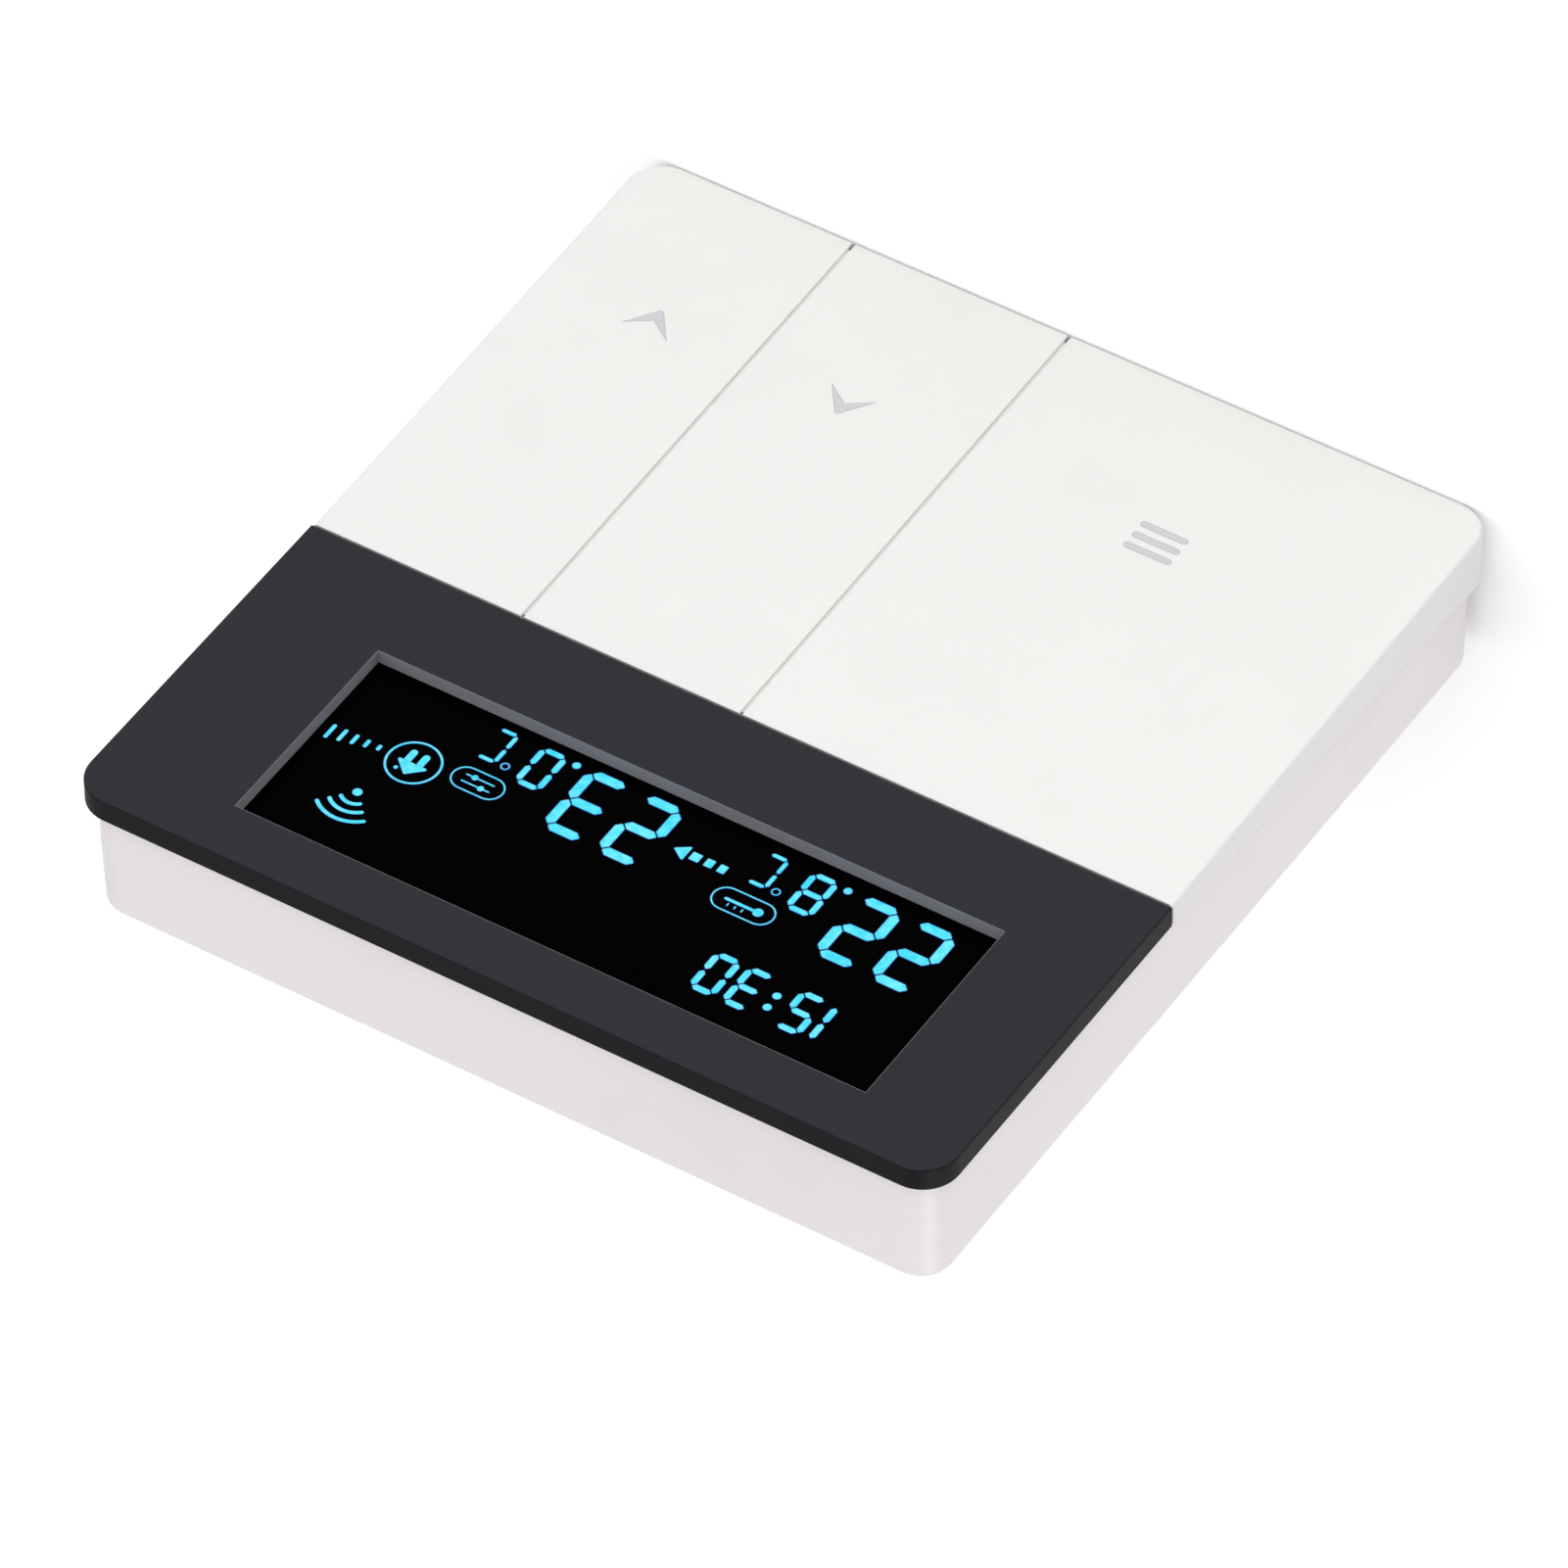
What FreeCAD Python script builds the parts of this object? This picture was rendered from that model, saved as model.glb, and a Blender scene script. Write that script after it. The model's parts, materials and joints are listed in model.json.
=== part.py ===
import FreeCAD, Part
import math
import os
import Sketcher

# Wall thermostat: a dark panel with a sunk segment display above three tilting keys.
#
# +X points right as a person faces the wall, +Z up the wall, and -Y out of the wall.
# The origin is midway between the two wall screws, on the rear face, which lies at Y = 0.
# A "depth" is a distance from the wall, so a point at depth d has Y = -d.
# Every length is in millimetres.

SIZES = [
    ("wide", 86.0, "panel and keys, across the wall"),
    ("high", 90.0, "panel and keys, up the wall"),
    ("depth", 14.5, "wall to the face of the dark panel"),
    ("seam", 7.1, "wall to the joint between tray and frame"),
    ("corner", 3.5, "outer corner radius of panel and keys"),
    ("body_inset", 0.9, "overhang of panel and keys past the housing"),
    ("body_corner", 3.2, "outer corner radius of the housing"),
    ("wall", 1.6, "housing side walls and rear wall"),
    ("lip_high", 1.2, "rise of the tray's lip past the joint"),
    ("lip_thick", 0.8, "thickness of the tray's lip"),
    ("lip_gap", 0.05, "clearance of the lip in the frame"),
    ("draft", 1.6, "inward lean of the tray's sides, degrees"),
    ("rear_round", 0.6, "rounding of the tray's rear edge"),
    ("panel_high", 36.85, "dark panel, up the wall"),
    ("panel_thick", 2.3, "dark panel"),
    ("panel_round", 0.2, "rounding of the dark panel's front edge"),
    ("window_wide", 62.4, "window in the dark panel"),
    ("window_high", 21.6, "window in the dark panel"),
    ("window_shift", -1.5, "window centre, right of the panel's centre"),
    ("window_drop", 5.5, "panel's top edge down to the window"),
    ("window_sunk", 1.4, "panel's face back to the display glass"),
    ("tape_thick", 0.2, "adhesive under the dark panel"),
    ("deck_thick", 1.4, "front wall of the frame"),
    ("down_key_wide", 21.3, "key at the right, with half a groove"),
    ("up_key_wide", 22.0, "middle key, with two half grooves"),
    ("groove", 0.3, "gap between two keys"),
    ("key_gap", 0.2, "gap between the dark panel and the keys"),
    ("key_plate", 1.5, "top wall of a key"),
    ("key_skirt", 0.62, "outer walls of the keys"),
    ("ledge_reach", 0.22, "ledge down a key's left side, into the groove"),
    ("ledge_sunk", 0.28, "face of a key back to that ledge"),
    ("ledge_thick", 0.8, "ledge down a key's left side"),
    ("relay_below", 2.6, "display board's lower edge down to the relay"),
    ("key_step", 0.1, "key's hinge end, behind the panel's face"),
    ("key_rise", 1.05, "key's free end, in front of the panel's face"),
    ("skirt_drop", 4.65, "panel's face back to the skirt's edge at the free end"),
    ("key_round", 0.6, "rounding of a key's outer edges"),
    ("groove_round", 0.12, "rounding of a key's groove edges"),
    ("rod_radius", 0.6, "hinge rod"),
    ("rod_back", 3.2, "panel's face back to the hinge rod"),
    ("rod_below", 1.95, "key's hinge end down to the hinge rod"),
    ("rod_running", 0.05, "radial clearance of a key's ear on the rod"),
    ("rod_seat", 0.02, "radial clearance of the rod in the frame"),
    ("ear_radius", 1.15, "round end of a key's hinge ear"),
    ("ear_thick", 1.4, "hinge ear, along the rod"),
    ("switch_above", 26.0, "keys' free ends up to the switch centres"),
    ("switch_wide", 6.0, "switch housing, both ways"),
    ("switch_high", 3.5, "switch housing, off the board"),
    ("plunger_radius", 1.7, "switch plunger"),
    ("plunger_out", 0.8, "plunger's rise out of its housing"),
    ("plunger_long", 1.4, "length of the plunger"),
    ("plunger_gap", 0.06, "clearance between key and plunger"),
    ("plunger_side", 0.08, "radial clearance of a plunger"),
    ("board_thick", 1.2, "display board"),
    ("boss_rise", 0.125, "press boss of a key, off the key's inner face"),
    ("boss_radius", 1.5, "press boss of a key"),
    ("boss_long", 0.8, "press boss of a key, with its root in the plate"),
    ("board_edge", 1.2, "display board to the frame's inner wall"),
    ("board_below", 4.6, "switch centres down to the display board's lower edge"),
    ("board_above", 1.5, "display board's upper edge to the tray's inner wall"),
    ("board_screw_in", 2.1, "display board's side to its screws"),
    ("board_screw_down", 2.7, "display board's upper edge to its upper screws"),
    ("board_screw_up", 11.6, "display board's lower edge to its lower screws"),
    ("glass_margin", 1.2, "display glass past the window, each side"),
    ("glass_thick", 2.2, "display glass, two sheets"),
    ("holder_wall", 1.0, "wall of the display holder"),
    ("fit", 0.1, "clearance between fixed pieces"),
    ("power_front", 3.2, "wall to the front of the power board"),
    ("power_thick", 1.0, "power board"),
    ("power_side", 1.5, "power board's side to the tray's inner wall"),
    ("power_under", 0.5, "power board's lower edge to the tray's inner wall"),
    ("power_band", 18.0, "power board's wide lower part, up the wall"),
    ("power_neck", 22.0, "power board's narrow upper part, centre to side"),
    ("tall_part", 7.2, "tallest part on the power board"),
    ("slot_pitch", 60.0, "between the two wall screws"),
    ("slot_wide", 4.2, "wall screw slot"),
    ("slot_long", 8.0, "wall screw slot, end to end"),
    ("entry_wide", 18.0, "cable entry"),
    ("entry_high", 12.0, "cable entry"),
    ("entry_below", 15.0, "wall screws down to the cable entry's centre"),
    ("pole_pitch", 5.0, "terminal block, one pole to the next"),
    ("pole_count", 6, "poles of the terminal block"),
    ("hook_wide", 6.0, "snap hook of the frame"),
    ("hook_thick", 0.8, "snap hook of the frame"),
    ("hook_end", 4.0, "wall to the tip of a snap hook"),
    ("barb", 0.45, "outward barb of a snap hook"),
]


class Size:
    """A length with its value now and the spreadsheet expression that drives it."""

    def __init__(self, value, text):
        self.value = value
        self.text = text

    def joined(self, other, sign, swapped=False):
        other = other if isinstance(other, Size) else Size(float(other), str(other))
        first, second = (other, self) if swapped else (self, other)
        result = {
            "+": lambda: first.value + second.value,
            "-": lambda: first.value - second.value,
            "*": lambda: first.value * second.value,
            "/": lambda: first.value / second.value,
        }[sign]()
        return Size(result, f"({first.text} {sign} {second.text})")

    def __add__(self, other):
        return self.joined(other, "+")

    def __radd__(self, other):
        return self.joined(other, "+", swapped=True)

    def __sub__(self, other):
        return self.joined(other, "-")

    def __rsub__(self, other):
        return self.joined(other, "-", swapped=True)

    def __mul__(self, other):
        return self.joined(other, "*")

    def __rmul__(self, other):
        return self.joined(other, "*", swapped=True)

    def __truediv__(self, other):
        return self.joined(other, "/")

    def __neg__(self):
        return Size(-self.value, f"(-1 * {self.text})")


class Sizes:
    """Every driving dimension, by name."""

    def __init__(self, rows):
        for alias, value, _ in rows:
            setattr(self, alias, Size(float(value), f"dims.{alias}"))


D = Sizes(SIZES)
doc = FreeCAD.newDocument("wall_thermostat")
pieces = []
ALONG_DEPTH = FreeCAD.Rotation(FreeCAD.Vector(1, 0, 0), 90)
ALONG_X = FreeCAD.Rotation(FreeCAD.Vector(0, 1, 0), 90)
TOLERANCE = 1e-4


def fixed(number):
    return Size(float(number), f"{float(number)}")


def as_size(number):
    return number if isinstance(number, Size) else fixed(number)


def bind(thing, name, size):
    """Drives one property from the spreadsheet."""
    thing.setExpression(name, as_size(size).text)


def keep(thing, label):
    """Names a finished piece and puts it on the list to be written."""
    thing.Label = label
    pieces.append(thing)
    return thing


def write_sheet():
    sheet = doc.addObject("Spreadsheet::Sheet", "dims")
    for row, (alias, value, note) in enumerate(SIZES, start=1):
        sheet.set(f"A{row}", note)
        sheet.set(f"B{row}", str(value))
        sheet.setAlias(f"B{row}", alias)
    doc.recompute()


# ---- levels and places shared by several pieces ----

write_sheet()
HALF_WIDE = D.wide / 2
HALF_HIGH = D.high / 2
BODY_X = HALF_WIDE - D.body_inset
BODY_Z = HALF_HIGH - D.body_inset
INNER_X = BODY_X - D.wall
INNER_Z = BODY_Z - D.wall
PANEL_LOW = HALF_HIGH - D.panel_high
PANEL_BACK = D.depth - D.panel_thick
DECK_BACK = PANEL_BACK - D.deck_thick
KEY_TOP = PANEL_LOW - D.key_gap
ROD_Z = KEY_TOP - D.rod_below
ROD_DEPTH = D.depth - D.rod_back
SWITCH_Z = -HALF_HIGH + D.switch_above


def plate_back(height):
    """Depth of a key's inner face at a given height on the wall."""
    fall = (D.key_rise + D.key_step) / (KEY_TOP + HALF_HIGH)
    return D.depth - D.key_step + fall * (KEY_TOP - height) - D.key_plate


PLUNGER_FRONT = plate_back(SWITCH_Z) - D.boss_rise - D.plunger_gap
SWITCH_FRONT = PLUNGER_FRONT - D.plunger_out
BOARD_FRONT = SWITCH_FRONT - D.switch_high
BOARD_BACK = BOARD_FRONT - D.board_thick
BOARD_X = INNER_X - D.board_edge
BOARD_LOW = SWITCH_Z - D.board_below
BOARD_TOP = INNER_Z - D.board_above
GLASS_FRONT = D.depth - D.window_sunk
GLASS_BACK = GLASS_FRONT - D.glass_thick
WINDOW_LEFT = D.window_shift - D.window_wide / 2
WINDOW_RIGHT = D.window_shift + D.window_wide / 2
WINDOW_TOP = HALF_HIGH - D.window_drop
WINDOW_LOW = WINDOW_TOP - D.window_high
PIN_Z = WINDOW_LOW - D.glass_margin + 1.0
HEADER_Z = PIN_Z - 13.7
POWER_BACK = D.power_front - D.power_thick
POWER_X = INNER_X - D.power_side
POWER_LOW = -INNER_Z + D.power_under
POWER_STEP = POWER_LOW + D.power_band
POWER_TOP = HEADER_Z + 8.5
ENTRY_Z = -D.entry_below
SPLIT_RIGHT = HALF_WIDE - D.down_key_wide
SPLIT_LEFT = SPLIT_RIGHT - D.up_key_wide
KEY_SPANS = {
    "key_menu": (-HALF_WIDE, SPLIT_LEFT - D.groove / 2),
    "key_up": (SPLIT_LEFT + D.groove / 2, SPLIT_RIGHT - D.groove / 2),
    "key_down": (SPLIT_RIGHT + D.groove / 2, HALF_WIDE),
}
BOARD_SCREWS = [
    (side * (BOARD_X - D.board_screw_in), height)
    for side in (-1, 1)
    for height in (BOARD_TOP - D.board_screw_down, BOARD_LOW + D.board_screw_up)
]
POWER_SCREWS = [
    (-D.power_neck - 3.0, POWER_STEP - 2.5),
    (D.power_neck - 6.5, POWER_STEP - 2.5),
    (-D.power_neck + 3.0, POWER_TOP - 3.5),
    (D.power_neck - 3.0, POWER_TOP - 3.5),
]


def middle(span):
    return (span[0] + span[1]) / 2


# ---- sketches and features ----


def new_body(label):
    return keep(doc.addObject("PartDesign::Body", label), label)


def new_sketch(body, plane, offset):
    """A sketch on one of the body's own planes, moved along that plane's normal."""
    sketch = body.newObject("Sketcher::SketchObject", f"{body.Name}_sketch")
    roles = {part.Role: part for part in body.Origin.OriginFeatures}
    sketch.AttachmentSupport = [(roles[plane], "")]
    sketch.MapMode = "FlatFace"
    bind(sketch, "AttachmentOffset.Base.z", offset)
    return sketch


def front_sketch(body, depth):
    """Looks at the wall: sketch X is X, sketch Y is Z, and a pad grows away from the wall."""
    return new_sketch(body, "XZ_Plane", depth)


def side_sketch(body, x):
    """Looks along the wall: sketch X is Y, sketch Y is Z, and a pad grows towards +X."""
    return new_sketch(body, "YZ_Plane", x)


def pin_point(sketch, line, end, x, y):
    """Holds one end of a line at a place driven by the spreadsheet."""
    for kind, size in (("DistanceX", x), ("DistanceY", y)):
        size = as_size(size)
        constraint = Sketcher.Constraint(kind, -1, 1, line, end, size.value)
        number = sketch.addConstraint(constraint)
        sketch.setExpression(f"Constraints[{number}]", size.text)


def polygon(sketch, points):
    """A closed outline of straight lines."""
    points = [(as_size(x), as_size(y)) for x, y in points]
    places = [FreeCAD.Vector(x.value, y.value, 0) for x, y in points]
    first = sketch.GeometryCount
    count = len(points)
    for number in range(count):
        sketch.addGeometry(
            Part.LineSegment(places[number], places[(number + 1) % count]), False
        )
    for number in range(count):
        following = first + (number + 1) % count
        sketch.addConstraint(
            Sketcher.Constraint("Coincident", first + number, 2, following, 1)
        )
        pin_point(sketch, first + number, 1, *points[number])
    return sketch


def rectangle(sketch, left, right, low, top):
    return polygon(sketch, [(left, low), (right, low), (right, top), (left, top)])


def rounded_rectangle(sketch, half_x, half_y, radius):
    """A rectangle about the origin whose corners are arcs."""
    lines = []
    arcs = []
    for number, (sx, sy) in enumerate(((1, -1), (1, 1), (-1, 1), (-1, -1))):
        centre_x = sx * (half_x - radius)
        centre_y = sy * (half_y - radius)
        centre = FreeCAD.Vector(centre_x.value, centre_y.value, 0)
        ring = Part.Circle(centre, FreeCAD.Vector(0, 0, 1), radius.value)
        start = math.radians(90 * number - 90)
        arc = Part.ArcOfCircle(ring, start, start + math.pi / 2)
        arcs.append(sketch.addGeometry(arc, False))
        pin_point(sketch, arcs[-1], 3, centre_x, centre_y)
        fix = sketch.addConstraint(Sketcher.Constraint("Radius", arcs[-1], radius.value))
        sketch.setExpression(f"Constraints[{fix}]", radius.text)
    for number, arc in enumerate(arcs):
        following = arcs[(number + 1) % len(arcs)]
        start = sketch.Geometry[arc].EndPoint
        end = sketch.Geometry[following].StartPoint
        lines.append(sketch.addGeometry(Part.LineSegment(start, end), False))
        sketch.addConstraint(Sketcher.Constraint("Tangent", arc, 2, lines[-1], 1))
        sketch.addConstraint(Sketcher.Constraint("Tangent", lines[-1], 2, following, 1))
    return sketch


def circle(sketch, x, y, radius):
    x, y, radius = as_size(x), as_size(y), as_size(radius)
    place = FreeCAD.Vector(x.value, y.value, 0)
    line = sketch.addGeometry(
        Part.Circle(place, FreeCAD.Vector(0, 0, 1), radius.value), False
    )
    pin_point(sketch, line, 3, x, y)
    number = sketch.addConstraint(Sketcher.Constraint("Radius", line, radius.value))
    sketch.setExpression(f"Constraints[{number}]", radius.text)
    return sketch


def pad(body, sketch, length, reversed_way=False):
    feature = body.newObject("PartDesign::Pad", f"{body.Name}_pad")
    feature.Profile = sketch
    feature.Reversed = reversed_way
    bind(feature, "Length", length)
    doc.recompute()
    return feature


def cut(body, sketch, length, towards_wall=True):
    """A pocket, which must take something away."""
    before = body.Shape.Volume
    feature = body.newObject("PartDesign::Pocket", f"{body.Name}_cut")
    feature.Profile = sketch
    feature.Reversed = not towards_wall
    bind(feature, "Length", length)
    doc.recompute()
    if body.Shape.Volume > before - TOLERANCE:
        raise RuntimeError(f"{body.Label}: {feature.Name} cuts nothing")
    return feature


def chosen_edges(body, wanted):
    """The names of the edges whose end points all pass a test."""
    names = []
    for number, edge in enumerate(body.Shape.Edges, start=1):
        if len(edge.Vertexes) == 2 and wanted(edge):
            names.append(f"Edge{number}")
    if not names:
        raise RuntimeError(f"{body.Label}: no such edge")
    return names


def round_edges(body, radius, wanted):
    tip = body.Tip
    names = chosen_edges(body, wanted)
    feature = body.newObject("PartDesign::Fillet", f"{body.Name}_round")
    feature.Base = (tip, names)
    bind(feature, "Radius", radius)
    doc.recompute()
    return feature


def near(value, size):
    return abs(value - as_size(size).value) < TOLERANCE


def upright_at(corners):
    """A test for edges that run along the depth at one of some (x, z) corners."""

    def wanted(edge):
        first, last = (vertex.Point for vertex in edge.Vertexes)
        if abs(first.x - last.x) > TOLERANCE or abs(first.z - last.z) > TOLERANCE:
            return False
        return any(near(first.x, x) and near(first.z, z) for x, z in corners)

    return wanted


# ---- plain solids for small inner parts ----


def block(name, left, right, near_wall, away, low, top):
    """A box between two X, two depths and two Z."""
    sizes = [as_size(size) for size in (left, right, near_wall, away, low, top)]
    left, right, near_wall, away, low, top = sizes
    box = doc.addObject("Part::Box", name)
    bind(box, "Length", right - left)
    bind(box, "Width", away - near_wall)
    bind(box, "Height", top - low)
    bind(box, "Placement.Base.x", left)
    bind(box, "Placement.Base.y", -away)
    bind(box, "Placement.Base.z", low)
    return box


def pillar(name, x, z, radius, near_wall, away):
    """A cylinder that stands out of the wall."""
    x, z, near_wall, away = (as_size(size) for size in (x, z, near_wall, away))
    post = doc.addObject("Part::Cylinder", name)
    post.Placement = FreeCAD.Placement(FreeCAD.Vector(0, 0, 0), ALONG_DEPTH)
    bind(post, "Radius", radius)
    bind(post, "Height", away - near_wall)
    bind(post, "Placement.Base.x", x)
    bind(post, "Placement.Base.y", -near_wall)
    bind(post, "Placement.Base.z", z)
    return post


def fused(name, parts):
    joined = doc.addObject("Part::MultiFuse", name)
    joined.Shapes = parts
    return joined


def without(name, base, tools):
    """A solid less one or more others."""
    result = doc.addObject("Part::Cut", name)
    result.Base = base
    result.Tool = tools[0] if len(tools) == 1 else fused(f"{name}_tools", tools)
    return result


def gathered(name, parts):
    """Separate solids that make one group."""
    group = doc.addObject("Part::Compound", name)
    group.Links = parts
    return group


# ---- housing ----


def make_rear_tray():
    body = new_body("rear_tray")
    outline = rounded_rectangle(front_sketch(body, D.seam), BODY_X, BODY_Z, D.body_corner)
    shell = pad(body, outline, D.seam, reversed_way=True)
    bind(shell, "TaperAngle", -D.draft)
    doc.recompute()

    def rear_edge(edge):
        return all(near(vertex.Point.y, 0) for vertex in edge.Vertexes)

    round_edges(body, D.rear_round, rear_edge)
    lip = front_sketch(body, D.seam - D.wall)
    lip_corner = D.body_corner - D.wall + D.lip_thick
    rounded_rectangle(lip, INNER_X + D.lip_thick, INNER_Z + D.lip_thick, lip_corner)
    pad(body, lip, D.wall + D.lip_high)
    hollow = front_sketch(body, D.seam + D.lip_high)
    rounded_rectangle(hollow, INNER_X, INNER_Z, D.body_corner - D.wall)
    cut(body, hollow, D.seam + D.lip_high - D.wall)
    cut_rear_openings(body)
    cut_hook_pockets(body)
    cut_vents(body)
    stand_power_bosses(body)


def cut_rear_openings(body):
    """Two wall screw slots and the cable entry."""
    half_flat = (D.slot_long - D.slot_wide) / 2
    for side in (-1, 1):
        centre = side * D.slot_pitch / 2
        sketch = front_sketch(body, D.wall)
        rectangle(
            sketch, centre - half_flat, centre + half_flat, -D.slot_wide / 2, D.slot_wide / 2
        )
        cut(body, sketch, D.wall)
        for end in (-1, 1):
            sketch = circle(
                front_sketch(body, D.wall), centre + end * half_flat, 0, D.slot_wide / 2
            )
            cut(body, sketch, D.wall)
    sketch = rectangle(
        front_sketch(body, D.wall),
        -D.entry_wide / 2,
        D.entry_wide / 2,
        ENTRY_Z - D.entry_high / 2,
        ENTRY_Z + D.entry_high / 2,
    )
    cut(body, sketch, D.wall)
    corners = [
        (side * D.entry_wide / 2, ENTRY_Z + end * D.entry_high / 2)
        for side in (-1, 1)
        for end in (-1, 1)
    ]
    round_edges(body, 2.0, upright_at(corners))


HOOK_HEIGHTS = (INNER_Z - 18.5, -INNER_Z + 10.5)
HOOK_PLAY = 0.15


def cut_hook_pockets(body):
    """Pockets inside the side walls that the frame's snap hooks drop into."""
    for side in (-1, 1):
        for height in HOOK_HEIGHTS:
            inner = side * (INNER_X - 0.2)
            outer = side * (INNER_X + D.barb + HOOK_PLAY - D.fit)
            left, right = (outer, inner) if side < 0 else (inner, outer)
            half = D.hook_wide / 2 + HOOK_PLAY
            sketch = rectangle(
                front_sketch(body, D.hook_end + 1.6), left, right, height - half, height + half
            )
            cut(body, sketch, 2.0)


VENT_COUNT = 9
VENT_PITCH = 3.2
VENT_WIDE = 1.4
VENT_SIDE = 8.0


def cut_vents(body):
    """A row of air slots in the lower wall, under the temperature sensor."""
    for number in range(VENT_COUNT):
        x = HALF_WIDE - VENT_SIDE - number * VENT_PITCH
        sketch = rectangle(
            front_sketch(body, D.seam - 1.2),
            x - VENT_WIDE,
            x,
            -HALF_HIGH,
            -INNER_Z + 0.2,
        )
        cut(body, sketch, 3.0)


def stand_power_bosses(body):
    """Short posts that carry the power board, with pilot holes for its screws."""
    for x, z in POWER_SCREWS:
        pad(body, circle(front_sketch(body, D.wall), x, z, 2.2), POWER_BACK - D.wall)
    for x, z in POWER_SCREWS:
        cut(body, circle(front_sketch(body, POWER_BACK), x, z, 0.8), POWER_BACK - 0.6)


def make_front_frame():
    body = new_body("front_frame")
    outline = rounded_rectangle(front_sketch(body, D.seam), BODY_X, BODY_Z, D.body_corner)
    pad(body, outline, PANEL_BACK - D.seam)
    hollow = front_sketch(body, D.seam)
    rounded_rectangle(hollow, INNER_X, INNER_Z, D.body_corner - D.wall)
    cut(body, hollow, DECK_BACK - D.seam, towards_wall=False)
    rebate = front_sketch(body, D.seam)
    step = D.lip_thick + D.lip_gap
    rounded_rectangle(rebate, INNER_X + step, INNER_Z + step, D.body_corner - D.wall + step)
    cut(body, rebate, D.lip_high + D.lip_gap, towards_wall=False)
    cut_frame_deck(body)
    add_hinge_bearings(body)
    add_snap_hooks(body)
    add_board_bosses(body)


TAPE_INSET = 1.6
TAPE_ABOVE_KEYS = 1.4
HOLDER_X = (
    WINDOW_LEFT - D.glass_margin - D.holder_wall,
    WINDOW_RIGHT + D.glass_margin + D.holder_wall,
)
HOLDER_Z = (
    WINDOW_LOW - D.glass_margin - D.holder_wall,
    WINDOW_TOP + D.glass_margin + D.holder_wall,
)
ROD_SLOT = 1.6
ROD_END = INNER_X - 0.5


def cut_frame_deck(body):
    """Openings of the frame's front wall: display, adhesive, switches and hinge rod."""
    tape = rectangle(
        front_sketch(body, PANEL_BACK),
        -HALF_WIDE + TAPE_INSET,
        HALF_WIDE - TAPE_INSET,
        PANEL_LOW + TAPE_ABOVE_KEYS,
        HALF_HIGH - TAPE_INSET,
    )
    cut(body, tape, D.tape_thick)
    opening = rectangle(
        front_sketch(body, PANEL_BACK),
        HOLDER_X[0] - D.fit,
        HOLDER_X[1] + D.fit,
        HOLDER_Z[0] - D.fit,
        HOLDER_Z[1] + D.fit,
    )
    cut(body, opening, D.deck_thick)
    for span in KEY_SPANS.values():
        half = D.switch_wide / 2 + 0.4
        centre = middle(span)
        sketch = rectangle(
            front_sketch(body, PANEL_BACK),
            centre - half,
            centre + half,
            SWITCH_Z - half,
            SWITCH_Z + half,
        )
        cut(body, sketch, D.deck_thick)
    slot = rectangle(
        front_sketch(body, PANEL_BACK),
        -ROD_END + 0.6,
        ROD_END - 0.6,
        ROD_Z - ROD_SLOT,
        ROD_Z + ROD_SLOT,
    )
    cut(body, slot, D.deck_thick)


EAR_SPREAD = 0.56
BEARING_THICK = 1.6
BEARING_LOW = 1.4


def ear_places(span):
    """The two hinge ears of a key, as X of each ear's left face."""
    reach = (span[1] - span[0]) * EAR_SPREAD / 2
    return middle(span) - reach - D.ear_thick / 2, middle(span) + reach - D.ear_thick / 2


def add_hinge_bearings(body):
    """One bearing block for the rod beside each key ear, on its inner side."""
    for span in KEY_SPANS.values():
        left_ear, right_ear = ear_places(span)
        starts = (
            left_ear + D.ear_thick + D.key_gap,
            right_ear - D.key_gap - BEARING_THICK,
        )
        for start in starts:
            sketch = rectangle(
                front_sketch(body, ROD_DEPTH - BEARING_LOW),
                start,
                start + BEARING_THICK,
                ROD_Z - ROD_SLOT - 0.4,
                ROD_Z + ROD_SLOT + 0.4,
            )
            pad(body, sketch, PANEL_BACK - ROD_DEPTH + BEARING_LOW)
    hole = circle(side_sketch(body, -ROD_END), -ROD_DEPTH, ROD_Z, D.rod_radius + D.rod_seat)
    cut(body, hole, ROD_END * 2, towards_wall=False)


def add_snap_hooks(body):
    """Four tongues down the side walls, each with a barb that points outwards."""
    for side in (-1, 1):
        for height in HOOK_HEIGHTS:
            outer = INNER_X - D.fit
            inner = outer - D.hook_thick
            tip = outer + D.barb
            low = height - D.hook_wide / 2
            top = height + D.hook_wide / 2
            for reach, start, length in (
                (outer, D.hook_end, DECK_BACK - D.hook_end),
                (tip, D.hook_end, fixed(1.2)),
                (INNER_X + 0.3, D.seam + D.lip_high + 0.3, DECK_BACK - D.seam - D.lip_high - 0.3),
            ):
                left, right = (-reach, -inner) if side < 0 else (inner, reach)
                sketch = rectangle(front_sketch(body, start), left, right, low, top)
                pad(body, sketch, length)


def add_board_bosses(body):
    for x, z in BOARD_SCREWS:
        sketch = circle(front_sketch(body, BOARD_FRONT), x, z, 1.9)
        pad(body, sketch, DECK_BACK - BOARD_FRONT)
    for x, z in BOARD_SCREWS:
        sketch = circle(front_sketch(body, BOARD_FRONT), x, z, 0.8)
        cut(body, sketch, DECK_BACK - BOARD_FRONT + 0.6, towards_wall=False)


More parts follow.
